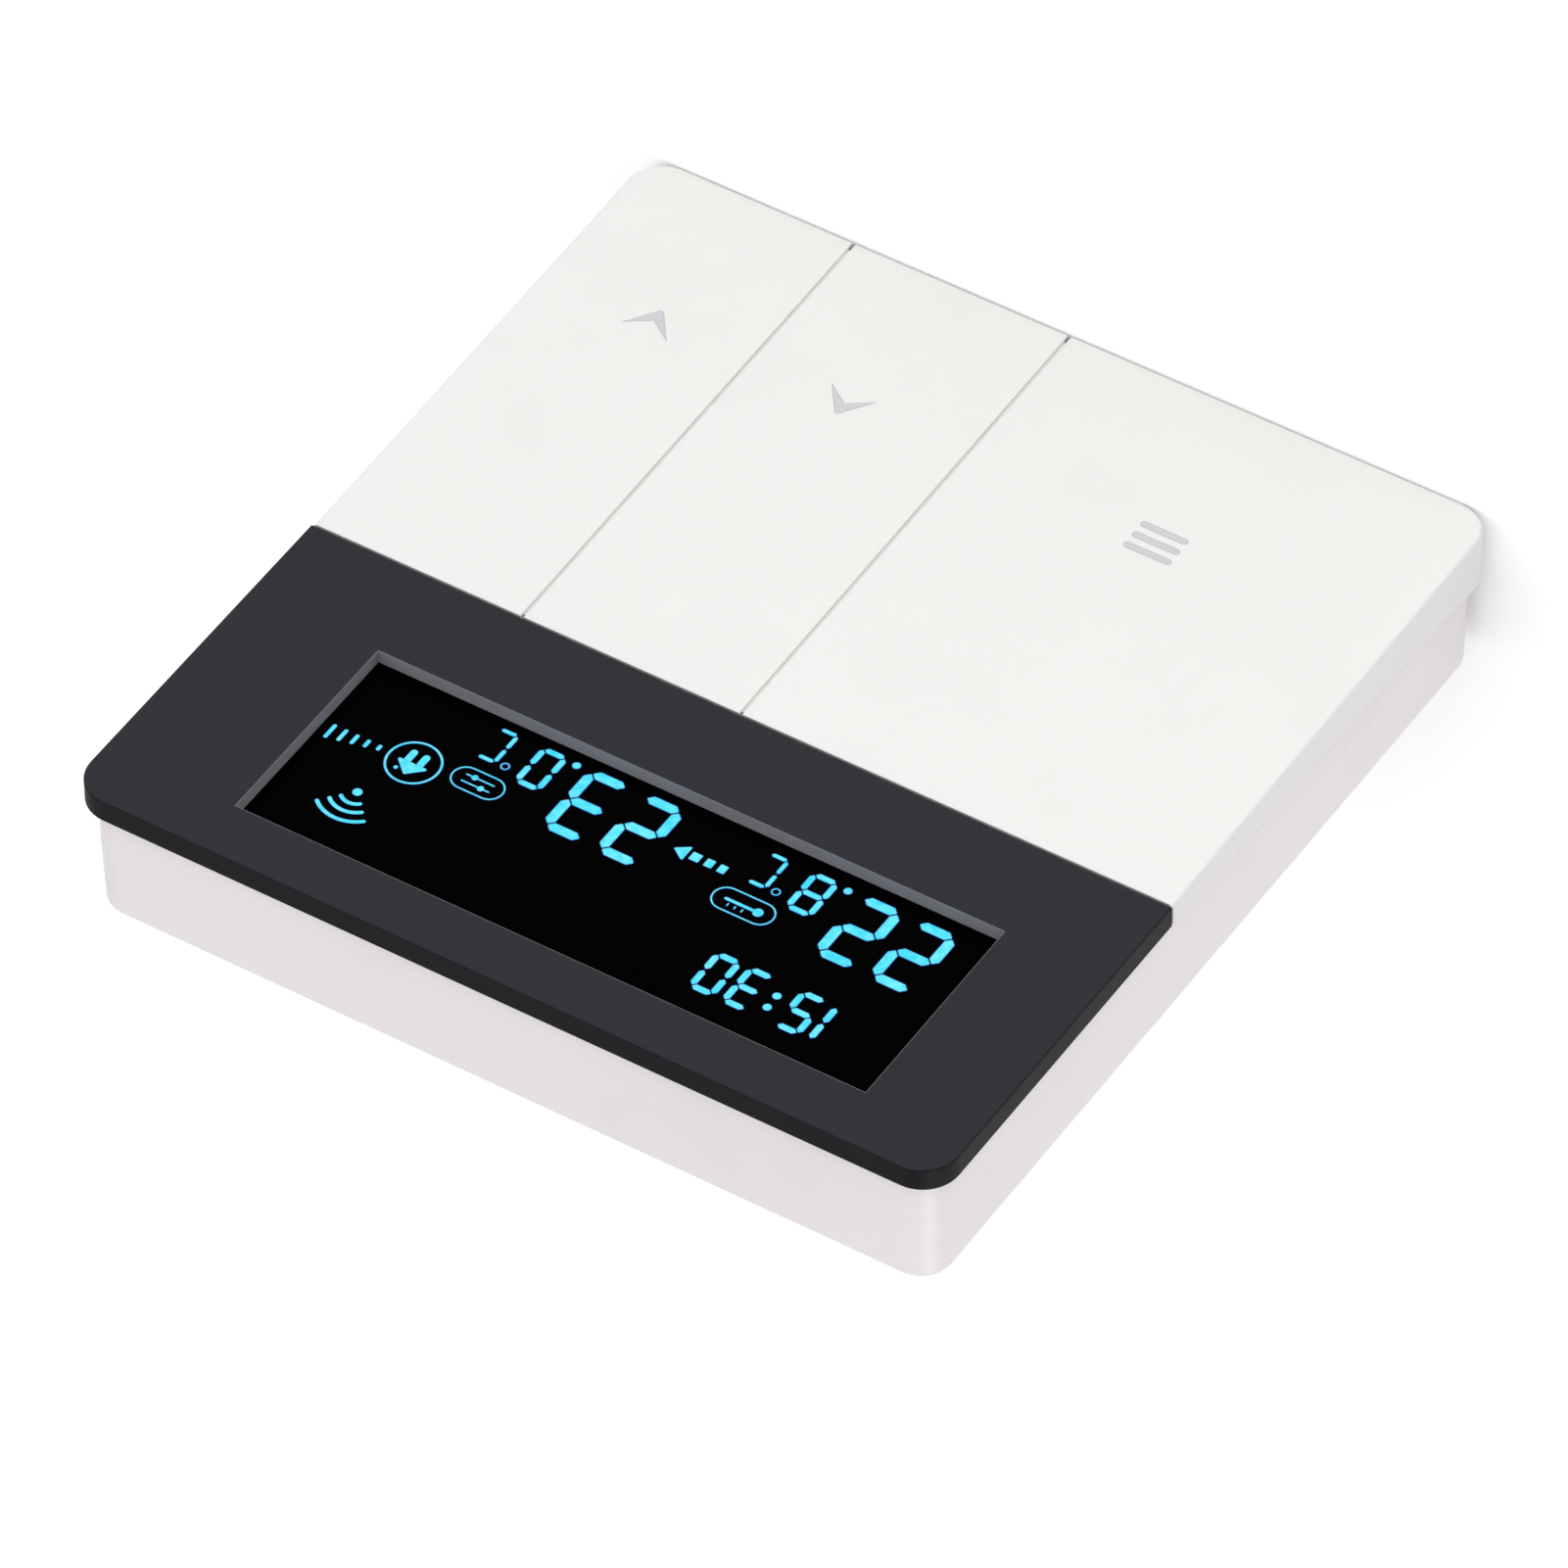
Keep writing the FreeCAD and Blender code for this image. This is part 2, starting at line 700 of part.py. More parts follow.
def make_display_panel():
    body = new_body("display_panel")
    outline = rectangle(
        front_sketch(body, PANEL_BACK), -HALF_WIDE, HALF_WIDE, PANEL_LOW, HALF_HIGH
    )
    pad(body, outline, D.panel_thick)
    corners = [(-HALF_WIDE, HALF_HIGH), (HALF_WIDE, HALF_HIGH)]
    round_edges(body, D.corner, upright_at(corners))

    def front_edge(edge):
        return all(near(vertex.Point.y, -D.depth) for vertex in edge.Vertexes)

    round_edges(body, D.panel_round, front_edge)
    window = rectangle(
        front_sketch(body, D.depth), WINDOW_LEFT, WINDOW_RIGHT, WINDOW_LOW, WINDOW_TOP
    )
    cut(body, window, D.panel_thick)
    margin = D.glass_margin + D.fit
    rebate = rectangle(
        front_sketch(body, PANEL_BACK),
        WINDOW_LEFT - margin,
        WINDOW_RIGHT + margin,
        WINDOW_LOW - margin,
        WINDOW_TOP + margin,
    )
    cut(body, rebate, D.panel_thick - D.window_sunk, towards_wall=False)


def make_panel_adhesive():
    deck = PANEL_BACK - D.tape_thick
    inset = TAPE_INSET + D.fit
    sheet = block(
        "tape_sheet",
        -HALF_WIDE + inset,
        HALF_WIDE - inset,
        deck,
        PANEL_BACK,
        PANEL_LOW + TAPE_ABOVE_KEYS + D.fit,
        HALF_HIGH - inset,
    )
    opening = block(
        "tape_opening",
        HOLDER_X[0] - 0.3,
        HOLDER_X[1] + 0.3,
        deck - 1,
        PANEL_BACK + 1,
        HOLDER_Z[0] - 0.3,
        HOLDER_Z[1] + 0.3,
    )
    keep(without("adhesive_ring", sheet, [opening]), "panel_adhesive")


# ---- keys ----


def make_key(label, span):
    """A tilting key: sloped plate, outer skirts, ribs, two hinge ears and a press boss."""
    left, right = span
    body = new_body(label)
    face_top = D.depth - D.key_step
    face_low = D.depth + D.key_rise
    wedge = [
        (-face_top, KEY_TOP),
        (-PANEL_BACK, KEY_TOP),
        (-(D.depth - D.skirt_drop), -HALF_HIGH),
        (-face_low, -HALF_HIGH),
    ]
    pad(body, polygon(side_sketch(body, left), wedge), right - left)
    outer_left = label == "key_menu"
    outer_right = label == "key_down"
    hollow_left = left + D.key_skirt if outer_left else left - 1
    hollow_right = right - D.key_skirt if outer_right else right + 1
    above = KEY_TOP + 1
    below = -HALF_HIGH + D.key_skirt
    hollow = [
        (-plate_back(above), above),
        (-plate_back(below), below),
        (-(D.depth - D.skirt_drop - 1), below),
        (-(D.depth - D.skirt_drop - 1), above),
    ]
    sketch = polygon(side_sketch(body, hollow_left), hollow)
    cut(body, sketch, hollow_right - hollow_left, towards_wall=False)
    for outer, x, inner_x in (
        (outer_left, left, hollow_left),
        (outer_right, right, hollow_right),
    ):
        if outer:
            round_edges(body, D.corner, upright_at([(x, -HALF_HIGH)]))
            round_edges(body, D.corner - D.key_skirt, upright_at([(inner_x, below)]))
    round_key_face(body, span, outer_left, outer_right)
    add_key_ribs(body, span)
    add_key_ears(body, span)
    if not outer_left:
        add_groove_ledge(body, left)
    boss_front = front_sketch(body, PLUNGER_FRONT + D.plunger_gap)
    pad(body, circle(boss_front, middle(span), SWITCH_Z, D.boss_radius), D.boss_long)


def on_key_face(point):
    """True for a point on the sloped face of the keys."""
    fall = (D.key_rise.value + D.key_step.value) / (KEY_TOP.value + HALF_HIGH.value)
    face = D.depth.value - D.key_step.value + fall * (KEY_TOP.value - point.z)
    return abs(-point.y - face) < 0.001


def round_key_face(body, span, outer_left, outer_right):
    """Soft outer edges, and much finer ones along the grooves and the dark panel."""
    left, right = span[0].value, span[1].value

    def outer_edge(edge):
        ends = [vertex.Point for vertex in edge.Vertexes]
        if not all(on_key_face(point) for point in ends):
            return False
        middle_point = edge.valueAt((edge.FirstParameter + edge.LastParameter) / 2)
        if near(middle_point.z, KEY_TOP):
            return False
        at_left = near(middle_point.x, left) and not outer_left
        at_right = near(middle_point.x, right) and not outer_right
        return not (at_left or at_right)

    round_edges(body, D.key_round, outer_edge)

    def groove_edge(edge):
        ends = [vertex.Point for vertex in edge.Vertexes]
        if not all(on_key_face(point) for point in ends):
            return False
        inner_left = all(near(point.x, left) for point in ends) and not outer_left
        inner_right = all(near(point.x, right) for point in ends) and not outer_right
        return inner_left or inner_right

    round_edges(body, D.groove_round, groove_edge)


def add_groove_ledge(body, left):
    """A thin ledge down a key's left side, which closes the view into the groove beside it."""
    top = KEY_TOP - 0.5
    low = -HALF_HIGH + D.key_round + 0.4
    sunk = D.key_plate - D.ledge_sunk
    profile = [
        (-(plate_back(top) + sunk), top),
        (-(plate_back(low) + sunk), low),
        (-(plate_back(low) + sunk - D.ledge_thick), low),
        (-(plate_back(top) + sunk - D.ledge_thick), top),
    ]
    overlap = 0.1
    sketch = polygon(side_sketch(body, left - D.ledge_reach), profile)
    pad(body, sketch, D.ledge_reach + overlap)


RIB_THICK = 0.8
RIB_DEEP = 0.5


def add_key_ribs(body, span):
    """Ribs down the back of the plate, one each side of the press boss."""
    start = KEY_TOP - 5.0
    end = -HALF_HIGH + 4.0
    profile = [
        (-plate_back(start) - 0.2, start),
        (-plate_back(end) - 0.2, end),
        (-plate_back(end) + RIB_DEEP, end),
        (-plate_back(start) + RIB_DEEP, start),
    ]
    quarter = (span[1] - span[0]) / 4
    for side in (-1, 1):
        x = middle(span) + side * quarter - RIB_THICK / 2
        pad(body, polygon(side_sketch(body, x), profile), RIB_THICK)


def add_key_ears(body, span):
    """Two ears that hang from the plate and turn on the hinge rod."""
    for start in ear_places(span):
        neck = rectangle(
            side_sketch(body, start),
            -(plate_back(ROD_Z) + 0.4),
            -ROD_DEPTH,
            ROD_Z - D.ear_radius,
            ROD_Z + D.ear_radius,
        )
        pad(body, neck, D.ear_thick)
        eye = circle(side_sketch(body, start), -ROD_DEPTH, ROD_Z, D.ear_radius)
        pad(body, eye, D.ear_thick)
    bore = circle(
        side_sketch(body, span[0]), -ROD_DEPTH, ROD_Z, D.rod_radius + D.rod_running
    )
    cut(body, bore, span[1] - span[0], towards_wall=False)


def make_hinge_rod():
    """One steel rod through the ears of all three keys."""
    rod = doc.addObject("Part::Cylinder", "rod")
    rod.Placement = FreeCAD.Placement(FreeCAD.Vector(0, 0, 0), ALONG_X)
    bind(rod, "Radius", D.rod_radius)
    bind(rod, "Height", (ROD_END - D.fit) * 2)
    bind(rod, "Placement.Base.x", -(ROD_END - D.fit))
    bind(rod, "Placement.Base.y", -ROD_DEPTH)
    bind(rod, "Placement.Base.z", ROD_Z)
    keep(rod, "hinge_rod")


# ---- switches ----


def make_switch(key_label, span):
    """A tactile switch: square housing with four legs, and a round plunger in a bore."""
    name = key_label.replace("key_", "")
    x = middle(span)
    half = D.switch_wide / 2
    housing = block(
        f"{name}_housing",
        x - half,
        x + half,
        BOARD_FRONT,
        SWITCH_FRONT,
        SWITCH_Z - half,
        SWITCH_Z + half,
    )
    floor = PLUNGER_FRONT - D.plunger_long - 0.5
    bore = pillar(
        f"{name}_bore",
        x,
        SWITCH_Z,
        D.plunger_radius + D.plunger_side,
        floor,
        SWITCH_FRONT + 1,
    )
    keep(without(f"{name}_switch", housing, [bore]), f"switch_{name}")
    plunger = pillar(
        f"{name}_plunger",
        x,
        SWITCH_Z,
        D.plunger_radius,
        PLUNGER_FRONT - D.plunger_long,
        PLUNGER_FRONT,
    )
    keep(plunger, f"plunger_{name}")


# ---- display ----

GLASS_X = (WINDOW_LEFT - D.glass_margin, WINDOW_RIGHT + D.glass_margin)
GLASS_Z = (WINDOW_LOW - D.glass_margin, WINDOW_TOP + D.glass_margin)
GUIDE_Z = (GLASS_Z[0] + 2.0, GLASS_Z[1] - 1.0)
GUIDE_FLOOR = BOARD_FRONT + 0.2
PIN_COUNT = 24
PIN_PITCH = 2.0
LED_LONG = 3.8


def make_display():
    glass = block("glass_sheets", *GLASS_X, GLASS_BACK, GLASS_FRONT, *GLASS_Z)
    keep(glass, "lcd_glass")
    guide_x = (GLASS_X[0] + 2.4, GLASS_X[1] - 2.4)
    guide = block("light_guide", *guide_x, GUIDE_FLOOR, GLASS_BACK, *GUIDE_Z)
    keep(guide, "lcd_backlight")
    leds = []
    for number, edge in enumerate((GLASS_X[0] + 1.2, GLASS_X[1] - 2.2)):
        centre = middle(GUIDE_Z)
        led = block(
            f"led_{number}",
            edge,
            edge + 1.0,
            GUIDE_FLOOR,
            GUIDE_FLOOR + 1.2,
            centre - LED_LONG / 2,
            centre + LED_LONG / 2,
        )
        leds.append(led)
    keep(gathered("led_pair", leds), "backlight_leds")
    make_holder()
    middle_x = middle(GLASS_X)
    pins = []
    for number in range(PIN_COUNT):
        x = middle_x + (number - (PIN_COUNT - 1) / 2) * PIN_PITCH
        pin = block(
            f"lcd_pin_{number}",
            x - 0.25,
            x + 0.25,
            BOARD_BACK - 0.5,
            GLASS_BACK,
            PIN_Z - 0.15,
            PIN_Z + 0.15,
        )
        pins.append(pin)
    keep(gathered("pin_row", pins), "lcd_pins")


def make_holder():
    """A plastic frame: a shelf for the glass, a well for the light guide, a slot for pins."""
    front = PANEL_BACK - D.tape_thick
    outer = block("holder_outer", *HOLDER_X, BOARD_FRONT, front, *HOLDER_Z)
    shelf = block(
        "holder_shelf",
        GLASS_X[0] - D.fit,
        GLASS_X[1] + D.fit,
        GLASS_BACK,
        front + 1,
        GLASS_Z[0] - D.fit,
        GLASS_Z[1] + D.fit,
    )
    well = block(
        "holder_well",
        GLASS_X[0] + 1.0,
        GLASS_X[1] - 1.0,
        BOARD_FRONT - 1,
        GLASS_BACK + 1,
        GUIDE_Z[0] - D.fit,
        GUIDE_Z[1] + D.fit,
    )
    reach = (PIN_COUNT + 1) * PIN_PITCH / 2
    slot = block(
        "holder_slot",
        middle(GLASS_X) - reach,
        middle(GLASS_X) + reach,
        BOARD_FRONT - 1,
        GLASS_BACK + 1,
        PIN_Z - 0.4,
        PIN_Z + 0.4,
    )
    keep(without("holder", outer, [shelf, well, slot]), "lcd_holder")


def make_display_board():
    body = new_body("display_board")
    outline = rectangle(
        front_sketch(body, BOARD_BACK), -BOARD_X, BOARD_X, BOARD_LOW, BOARD_TOP
    )
    pad(body, outline, D.board_thick)
    for x, z in BOARD_SCREWS:
        cut(body, circle(front_sketch(body, BOARD_FRONT), x, z, 1.15), D.board_thick)


def screw_group(name, label, places, seat, shank_long, head_towards_wall):
    """Round-headed screws, each a head with a cross recess and a shank."""
    screws = []
    for number, (x, z) in enumerate(places):
        tag = f"{name}_{number}"
        if head_towards_wall:
            head = pillar(f"{tag}_head", x, z, 1.8, seat - 1.2, seat)
            shank = pillar(f"{tag}_shank", x, z, 0.78, seat - 0.1, seat + shank_long)
            recess_from, recess_to = seat - 2.0, seat - 0.7
        else:
            head = pillar(f"{tag}_head", x, z, 1.8, seat, seat + 1.2)
            shank = pillar(f"{tag}_shank", x, z, 0.78, seat - shank_long, seat + 0.1)
            recess_from, recess_to = seat + 0.7, seat + 2.0
        arms = []
        for long_x, long_z in ((1.0, 0.22), (0.22, 1.0)):
            arm = block(
                f"{tag}_arm_{len(arms)}",
                x - long_x,
                x + long_x,
                recess_from,
                recess_to,
                z - long_z,
                z + long_z,
            )
            arms.append(arm)
        screws.append(without(tag, fused(f"{tag}_solid", [head, shank]), arms))
    keep(gathered(f"{name}_group", screws), label)


# ---- parts on the display board ----

MODULE_X = (-BOARD_X + 4.3, -BOARD_X + 20.3)
MODULE_Z = (PIN_Z - 24.9, PIN_Z - 0.9)
CHIP_X = (BOARD_X - 16.3, BOARD_X - 6.3)
CHIP_Z = (PIN_Z - 3.7, PIN_Z + 6.3)
SENSOR_X = HALF_WIDE - 15.0
BEAD_RADIUS = 1.1


def make_display_board_parts():
    module = block("module", *MODULE_X, BOARD_BACK - 0.8, BOARD_BACK, *MODULE_Z)
    keep(module, "wifi_module")
    shield = block(
        "shield",
        MODULE_X[0] + 1.0,
        MODULE_X[1] - 1.0,
        BOARD_BACK - 2.8,
        BOARD_BACK - 0.8,
        MODULE_Z[0] + 1.0,
        MODULE_Z[1] - 7.0,
    )
    keep(shield, "wifi_shield")
    chip = block("chip", *CHIP_X, BOARD_BACK - 1.4, BOARD_BACK, *CHIP_Z)
    keep(chip, "control_chip")
    bead = doc.addObject("Part::Cylinder", "bead")
    bind(bead, "Radius", BEAD_RADIUS)
    bead.Height = 2.4
    bind(bead, "Placement.Base.x", SENSOR_X)
    bind(bead, "Placement.Base.y", -(BOARD_BACK - 1.6))
    bind(bead, "Placement.Base.z", BOARD_LOW - 2.0)
    leads = []
    for side in (-0.5, 0.5):
        x = SENSOR_X + side
        rise = block(
            f"lead_rise_{len(leads)}",
            x - 0.2,
            x + 0.2,
            BOARD_BACK - 1.8,
            BOARD_BACK - 1.4,
            BOARD_LOW - 0.2,
            BOARD_LOW + 1.4,
        )
        foot = block(
            f"lead_foot_{len(leads)}",
            x - 0.2,
            x + 0.2,
            BOARD_BACK - 1.8,
            BOARD_BACK,
            BOARD_LOW + 1.0,
            BOARD_LOW + 1.4,
        )
        leads += [rise, foot]
    keep(fused("sensor", [bead] + leads), "temperature_sensor")


HEADER_PINS = 8
HEADER_PITCH = 2.54
SOCKET_HIGH = 3.0


def make_board_connector():
    """A row of pins on the display board that plugs into a socket on the power board."""
    half = HEADER_PINS * HEADER_PITCH / 2
    socket_top = D.power_front + SOCKET_HIGH
    strip = block(
        "header_strip", -half, half, socket_top + 0.2, BOARD_BACK, HEADER_Z - 1.2, HEADER_Z + 1.2
    )
    pins = []
    holes = []
    for number in range(HEADER_PINS):
        x = (number - (HEADER_PINS - 1) / 2) * HEADER_PITCH
        pin = block(
            f"header_pin_{number}",
            x - 0.32,
            x + 0.32,
            D.power_front + 0.7,
            BOARD_BACK - 0.1,
            HEADER_Z - 0.32,
            HEADER_Z + 0.32,
        )
        hole = block(
            f"socket_hole_{number}",
            x - 0.4,
            x + 0.4,
            D.power_front + 0.5,
            socket_top + 1,
            HEADER_Z - 0.4,
            HEADER_Z + 0.4,
        )
        pins.append(pin)
        holes.append(hole)
    keep(fused("header", [strip] + pins), "board_header")
    shell = block(
        "socket_shell", -half, half, D.power_front, socket_top, HEADER_Z - 1.3, HEADER_Z + 1.3
    )
    keep(without("socket", shell, holes), "board_socket")


def make_insulating_sheet():
    """A film between the two boards, with a slot for the connector."""
    far = BOARD_BACK - 0.3
    film = block("film", -18.0, 19.0, far - 0.25, far, HEADER_Z - 9.0, PIN_Z - 1.7)
    slot = block("film_slot", -11.0, 11.0, far - 2, far + 2, HEADER_Z - 2, HEADER_Z + 2)
    keep(without("film_sheet", film, [slot]), "insulating_sheet")


# ---- parts on the power board ----


def make_power_board():
    body = new_body("power_board")
    outline = [
        (-POWER_X, POWER_LOW),
        (POWER_X, POWER_LOW),
        (POWER_X, POWER_STEP),
        (D.power_neck, POWER_STEP),
        (D.power_neck, POWER_TOP),
        (-D.power_neck, POWER_TOP),
        (-D.power_neck, POWER_STEP),
        (-POWER_X, POWER_STEP),
    ]
    pad(body, polygon(front_sketch(body, POWER_BACK), outline), D.power_thick)
    round_opening = rectangle(
        front_sketch(body, D.power_front),
        -(D.entry_wide / 2 + 2),
        D.entry_wide / 2 + 2,
        ENTRY_Z - D.entry_high / 2 - 2,
        ENTRY_Z + D.entry_high / 2 + 2,
    )
    cut(body, round_opening, D.power_thick)
    for x, z in POWER_SCREWS:
        cut(body, circle(front_sketch(body, D.power_front), x, z, 1.15), D.power_thick)


BLOCK_BACK = 8.4
MOUTH_WIDE = 3.7
MOUTH_DEEP = 6.0


def make_terminal_block():
    """Screw terminals for the mains wires, with mouths that face up to the cable entry."""
    base = POWER_LOW + 0.6
    top = base + BLOCK_BACK
    front = D.power_front + D.tall_part
    count = int(D.pole_count.value)
    half = count * D.pole_pitch / 2 + 0.4
    shell = block("terminal_shell", -half, half, D.power_front, front, base, top)
    tools = []
    screws = []
    clamps = []
    screw_z = base + BLOCK_BACK / 2
    for number in range(count):
        x = (number - (count - 1) / 2) * D.pole_pitch
        mouth = block(
            f"mouth_{number}",
            x - MOUTH_WIDE / 2,
            x + MOUTH_WIDE / 2,
            D.power_front + 0.9,
            D.power_front + 4.7,
            top - MOUTH_DEEP,
            top + 1,
        )
        well = pillar(f"screw_well_{number}", x, screw_z, 1.75, D.power_front + 4.0, front + 1)
        tools += [mouth, well]
        head = pillar(f"pole_head_{number}", x, screw_z, 1.6, front - 1.8, front - 0.3)
        slot = block(
            f"pole_slot_{number}",
            x - 2,
            x + 2,
            front - 0.9,
            front + 1,
            screw_z - 0.25,
            screw_z + 0.25,
        )
        shank = pillar(f"pole_shank_{number}", x, screw_z, 1.0, D.power_front + 3.0, front - 1.7)
        screw = fused(f"pole_screw_{number}", [head, shank])
        screws.append(without(f"slotted_screw_{number}", screw, [slot]))
        plate = block(
            f"clamp_plate_{number}",
            x - 1.6,
            x + 1.6,
            D.power_front + 3.2,
            D.power_front + 4.2,
            screw_z - 1.6,
            screw_z + 1.6,
        )
        thread = pillar(
            f"clamp_hole_{number}", x, screw_z, 1.03, D.power_front + 2, D.power_front + 6
        )
        clamps.append(without(f"clamp_{number}", plate, [thread]))
    keep(without("terminals", shell, tools), "terminal_block")
    keep(gathered("pole_screws", screws), "terminal_screws")
    keep(gathered("pole_clamps", clamps), "terminal_clamps")


def make_power_parts():
    base = POWER_LOW + 0.8
    front = D.power_front + D.tall_part
    right = POWER_X - 0.9
    left = -POWER_X + 0.6
    relay_top = BOARD_LOW - D.relay_below
    relay = block("relay_case", right - 20.5, right, D.power_front, front, base, relay_top)
    keep(relay, "relay")
    core = block("core", left, left + 10, D.power_front + 0.8, front, base + 1.5, base + 10.5)
    bobbin = block("bobbin", left + 1, left + 9, D.power_front, front - 0.8, base, base + 12)
    keep(fused("wound_core", [core, bobbin]), "transformer")
    cans = []
    for number, x in enumerate((left + 13.6, left + 19.2)):
        can = doc.addObject("Part::Cylinder", f"can_{number}")
        can.Radius = 2.5
        can.Height = 11.0
        bind(can, "Placement.Base.x", x)
        bind(can, "Placement.Base.y", -(D.power_front + 2.55))
        bind(can, "Placement.Base.z", base)
        cans.append(can)
    keep(gathered("can_pair", cans), "bulk_capacitors")
    disc_place = (-D.power_neck + 5.0, POWER_STEP + 7.5)
    disc = pillar("disc", *disc_place, 3.6, D.power_front, D.power_front + 3.4)
    keep(disc, "surge_varistor")
    fuse_x = (D.power_neck - 8.2, D.power_neck - 3.2)
    fuse_z = (POWER_STEP + 5.0, POWER_STEP + 16.0)
    fuse = block("fuse_case", *fuse_x, D.power_front, D.power_front + 3.4, *fuse_z)
    keep(fuse, "fuse")


# ---- make everything, check it, write it ----


def check_document():
    """Stops at any feature that failed without raising."""
    for thing in doc.Objects:
        if any(state in ("Invalid", "Error") for state in thing.State):
            raise RuntimeError(f"{thing.Label} is {thing.State}")
    for piece in pieces:
        shape = piece.Shape
        if shape.isNull() or not shape.isValid() or shape.Volume <= 0:
            raise RuntimeError(f"{piece.Label} has no good shape")


def write_pieces():
    os.makedirs("parts", exist_ok=True)
    for piece in pieces:
        piece.Shape.exportStep(os.path.join("parts", f"{piece.Label}.step"))
        box = piece.Shape.BoundBox
        print(
            f"{piece.Label:22s} {len(piece.Shape.Solids):3d} solids"
            f" {piece.Shape.Volume:10.1f} mm3"
            f"  x {box.XMin:.2f}..{box.XMax:.2f}"
            f"  y {box.YMin:.2f}..{box.YMax:.2f}"
            f"  z {box.ZMin:.2f}..{box.ZMax:.2f}"
        )


make_rear_tray()
make_front_frame()
make_display_panel()
make_panel_adhesive()
for key_label, key_span in KEY_SPANS.items():
    make_key(key_label, key_span)
    make_switch(key_label, key_span)
make_hinge_rod()
make_display()
make_display_board()
screw_group(
    "board_screw", "display_board_screws", BOARD_SCREWS, BOARD_BACK, 3.2, head_towards_wall=True
)
make_display_board_parts()
make_board_connector()
make_insulating_sheet()
make_power_board()
screw_group(
    "power_screw", "power_board_screws", POWER_SCREWS, D.power_front, 2.3, head_towards_wall=False
)
make_terminal_block()
make_power_parts()
doc.recompute()
check_document()
write_pieces()
print(f"{len(pieces)} pieces")
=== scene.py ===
# %% [markdown]
# # A wall thermostat
# The real thing is a white moulded box with a dark panel across its upper front. A segment
# display sits behind a window in the panel, and three long keys fill the lower front.
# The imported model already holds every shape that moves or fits. What is left is the light,
# the finish of each material, the lit segments, and the marks printed on the keys.

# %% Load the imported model
import json
import math
import random

import bmesh
import bpy
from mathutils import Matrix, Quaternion, Vector
from mathutils.bvhtree import BVHTree

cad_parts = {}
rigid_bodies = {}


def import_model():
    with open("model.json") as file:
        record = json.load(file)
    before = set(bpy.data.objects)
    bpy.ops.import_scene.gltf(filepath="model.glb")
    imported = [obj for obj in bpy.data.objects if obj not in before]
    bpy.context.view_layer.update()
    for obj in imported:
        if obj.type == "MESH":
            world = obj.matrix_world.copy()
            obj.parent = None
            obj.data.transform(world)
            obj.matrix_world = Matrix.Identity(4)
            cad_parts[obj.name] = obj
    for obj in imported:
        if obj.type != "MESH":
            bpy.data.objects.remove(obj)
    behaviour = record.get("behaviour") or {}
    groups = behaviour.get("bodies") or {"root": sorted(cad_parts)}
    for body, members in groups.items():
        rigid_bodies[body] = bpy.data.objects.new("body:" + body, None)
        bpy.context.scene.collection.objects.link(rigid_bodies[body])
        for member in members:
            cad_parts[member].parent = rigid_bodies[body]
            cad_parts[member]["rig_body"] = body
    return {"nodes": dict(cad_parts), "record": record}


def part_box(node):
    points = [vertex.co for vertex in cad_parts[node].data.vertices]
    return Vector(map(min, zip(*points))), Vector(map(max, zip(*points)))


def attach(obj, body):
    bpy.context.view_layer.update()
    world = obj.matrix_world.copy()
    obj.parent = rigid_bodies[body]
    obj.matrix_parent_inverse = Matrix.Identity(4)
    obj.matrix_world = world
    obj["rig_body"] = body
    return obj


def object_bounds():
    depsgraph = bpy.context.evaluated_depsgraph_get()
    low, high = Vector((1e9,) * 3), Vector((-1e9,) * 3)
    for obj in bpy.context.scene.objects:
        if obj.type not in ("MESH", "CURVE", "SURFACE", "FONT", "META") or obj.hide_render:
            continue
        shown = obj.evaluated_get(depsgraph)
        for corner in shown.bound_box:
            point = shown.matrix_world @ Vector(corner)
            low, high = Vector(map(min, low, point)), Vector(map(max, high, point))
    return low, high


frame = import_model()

cad_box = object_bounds()
nodes = frame["nodes"]
MM = 0.001

# %% [markdown]
# ## A small language for shader maths
# A finish such as moulded plastic is a network of nodes. Wiring it by hand hides the idea, so
# one class wraps a socket and lets it be added, multiplied and compared like a number. Each
# expression adds its own Math node. A second class holds one material and makes its nodes.


# %% Wrap a socket and a material
class Field:
    """A number, colour or direction that changes over a surface."""

    def __init__(self, finish, socket):
        self.finish = finish
        self.socket = socket

    def beside(self, output):
        """Another output of the node that this one came from."""
        return Field(self.finish, self.socket.node.outputs[output])

    def maths(self, operation, first, second):
        return self.finish.node("Math", {"operation": operation}, {0: first, 1: second})

    def __add__(self, other):
        return self.maths("ADD", self, other)

    def __radd__(self, other):
        return self.maths("ADD", other, self)

    def __sub__(self, other):
        return self.maths("SUBTRACT", self, other)

    def __rsub__(self, other):
        return self.maths("SUBTRACT", other, self)

    def __mul__(self, other):
        return self.maths("MULTIPLY", self, other)

    def __rmul__(self, other):
        return self.maths("MULTIPLY", other, self)

    def __gt__(self, other):
        return self.maths("GREATER_THAN", self, other)

    def __abs__(self):
        return self.maths("ABSOLUTE", self, 0.0)

    def step(self, start, end):
        """0 at start, 1 at end, and a smooth rise or fall between them."""
        values = {"Value": self, "From Min": start, "From Max": end}
        return self.finish.node("MapRange", {"interpolation_type": "SMOOTHSTEP"}, values)


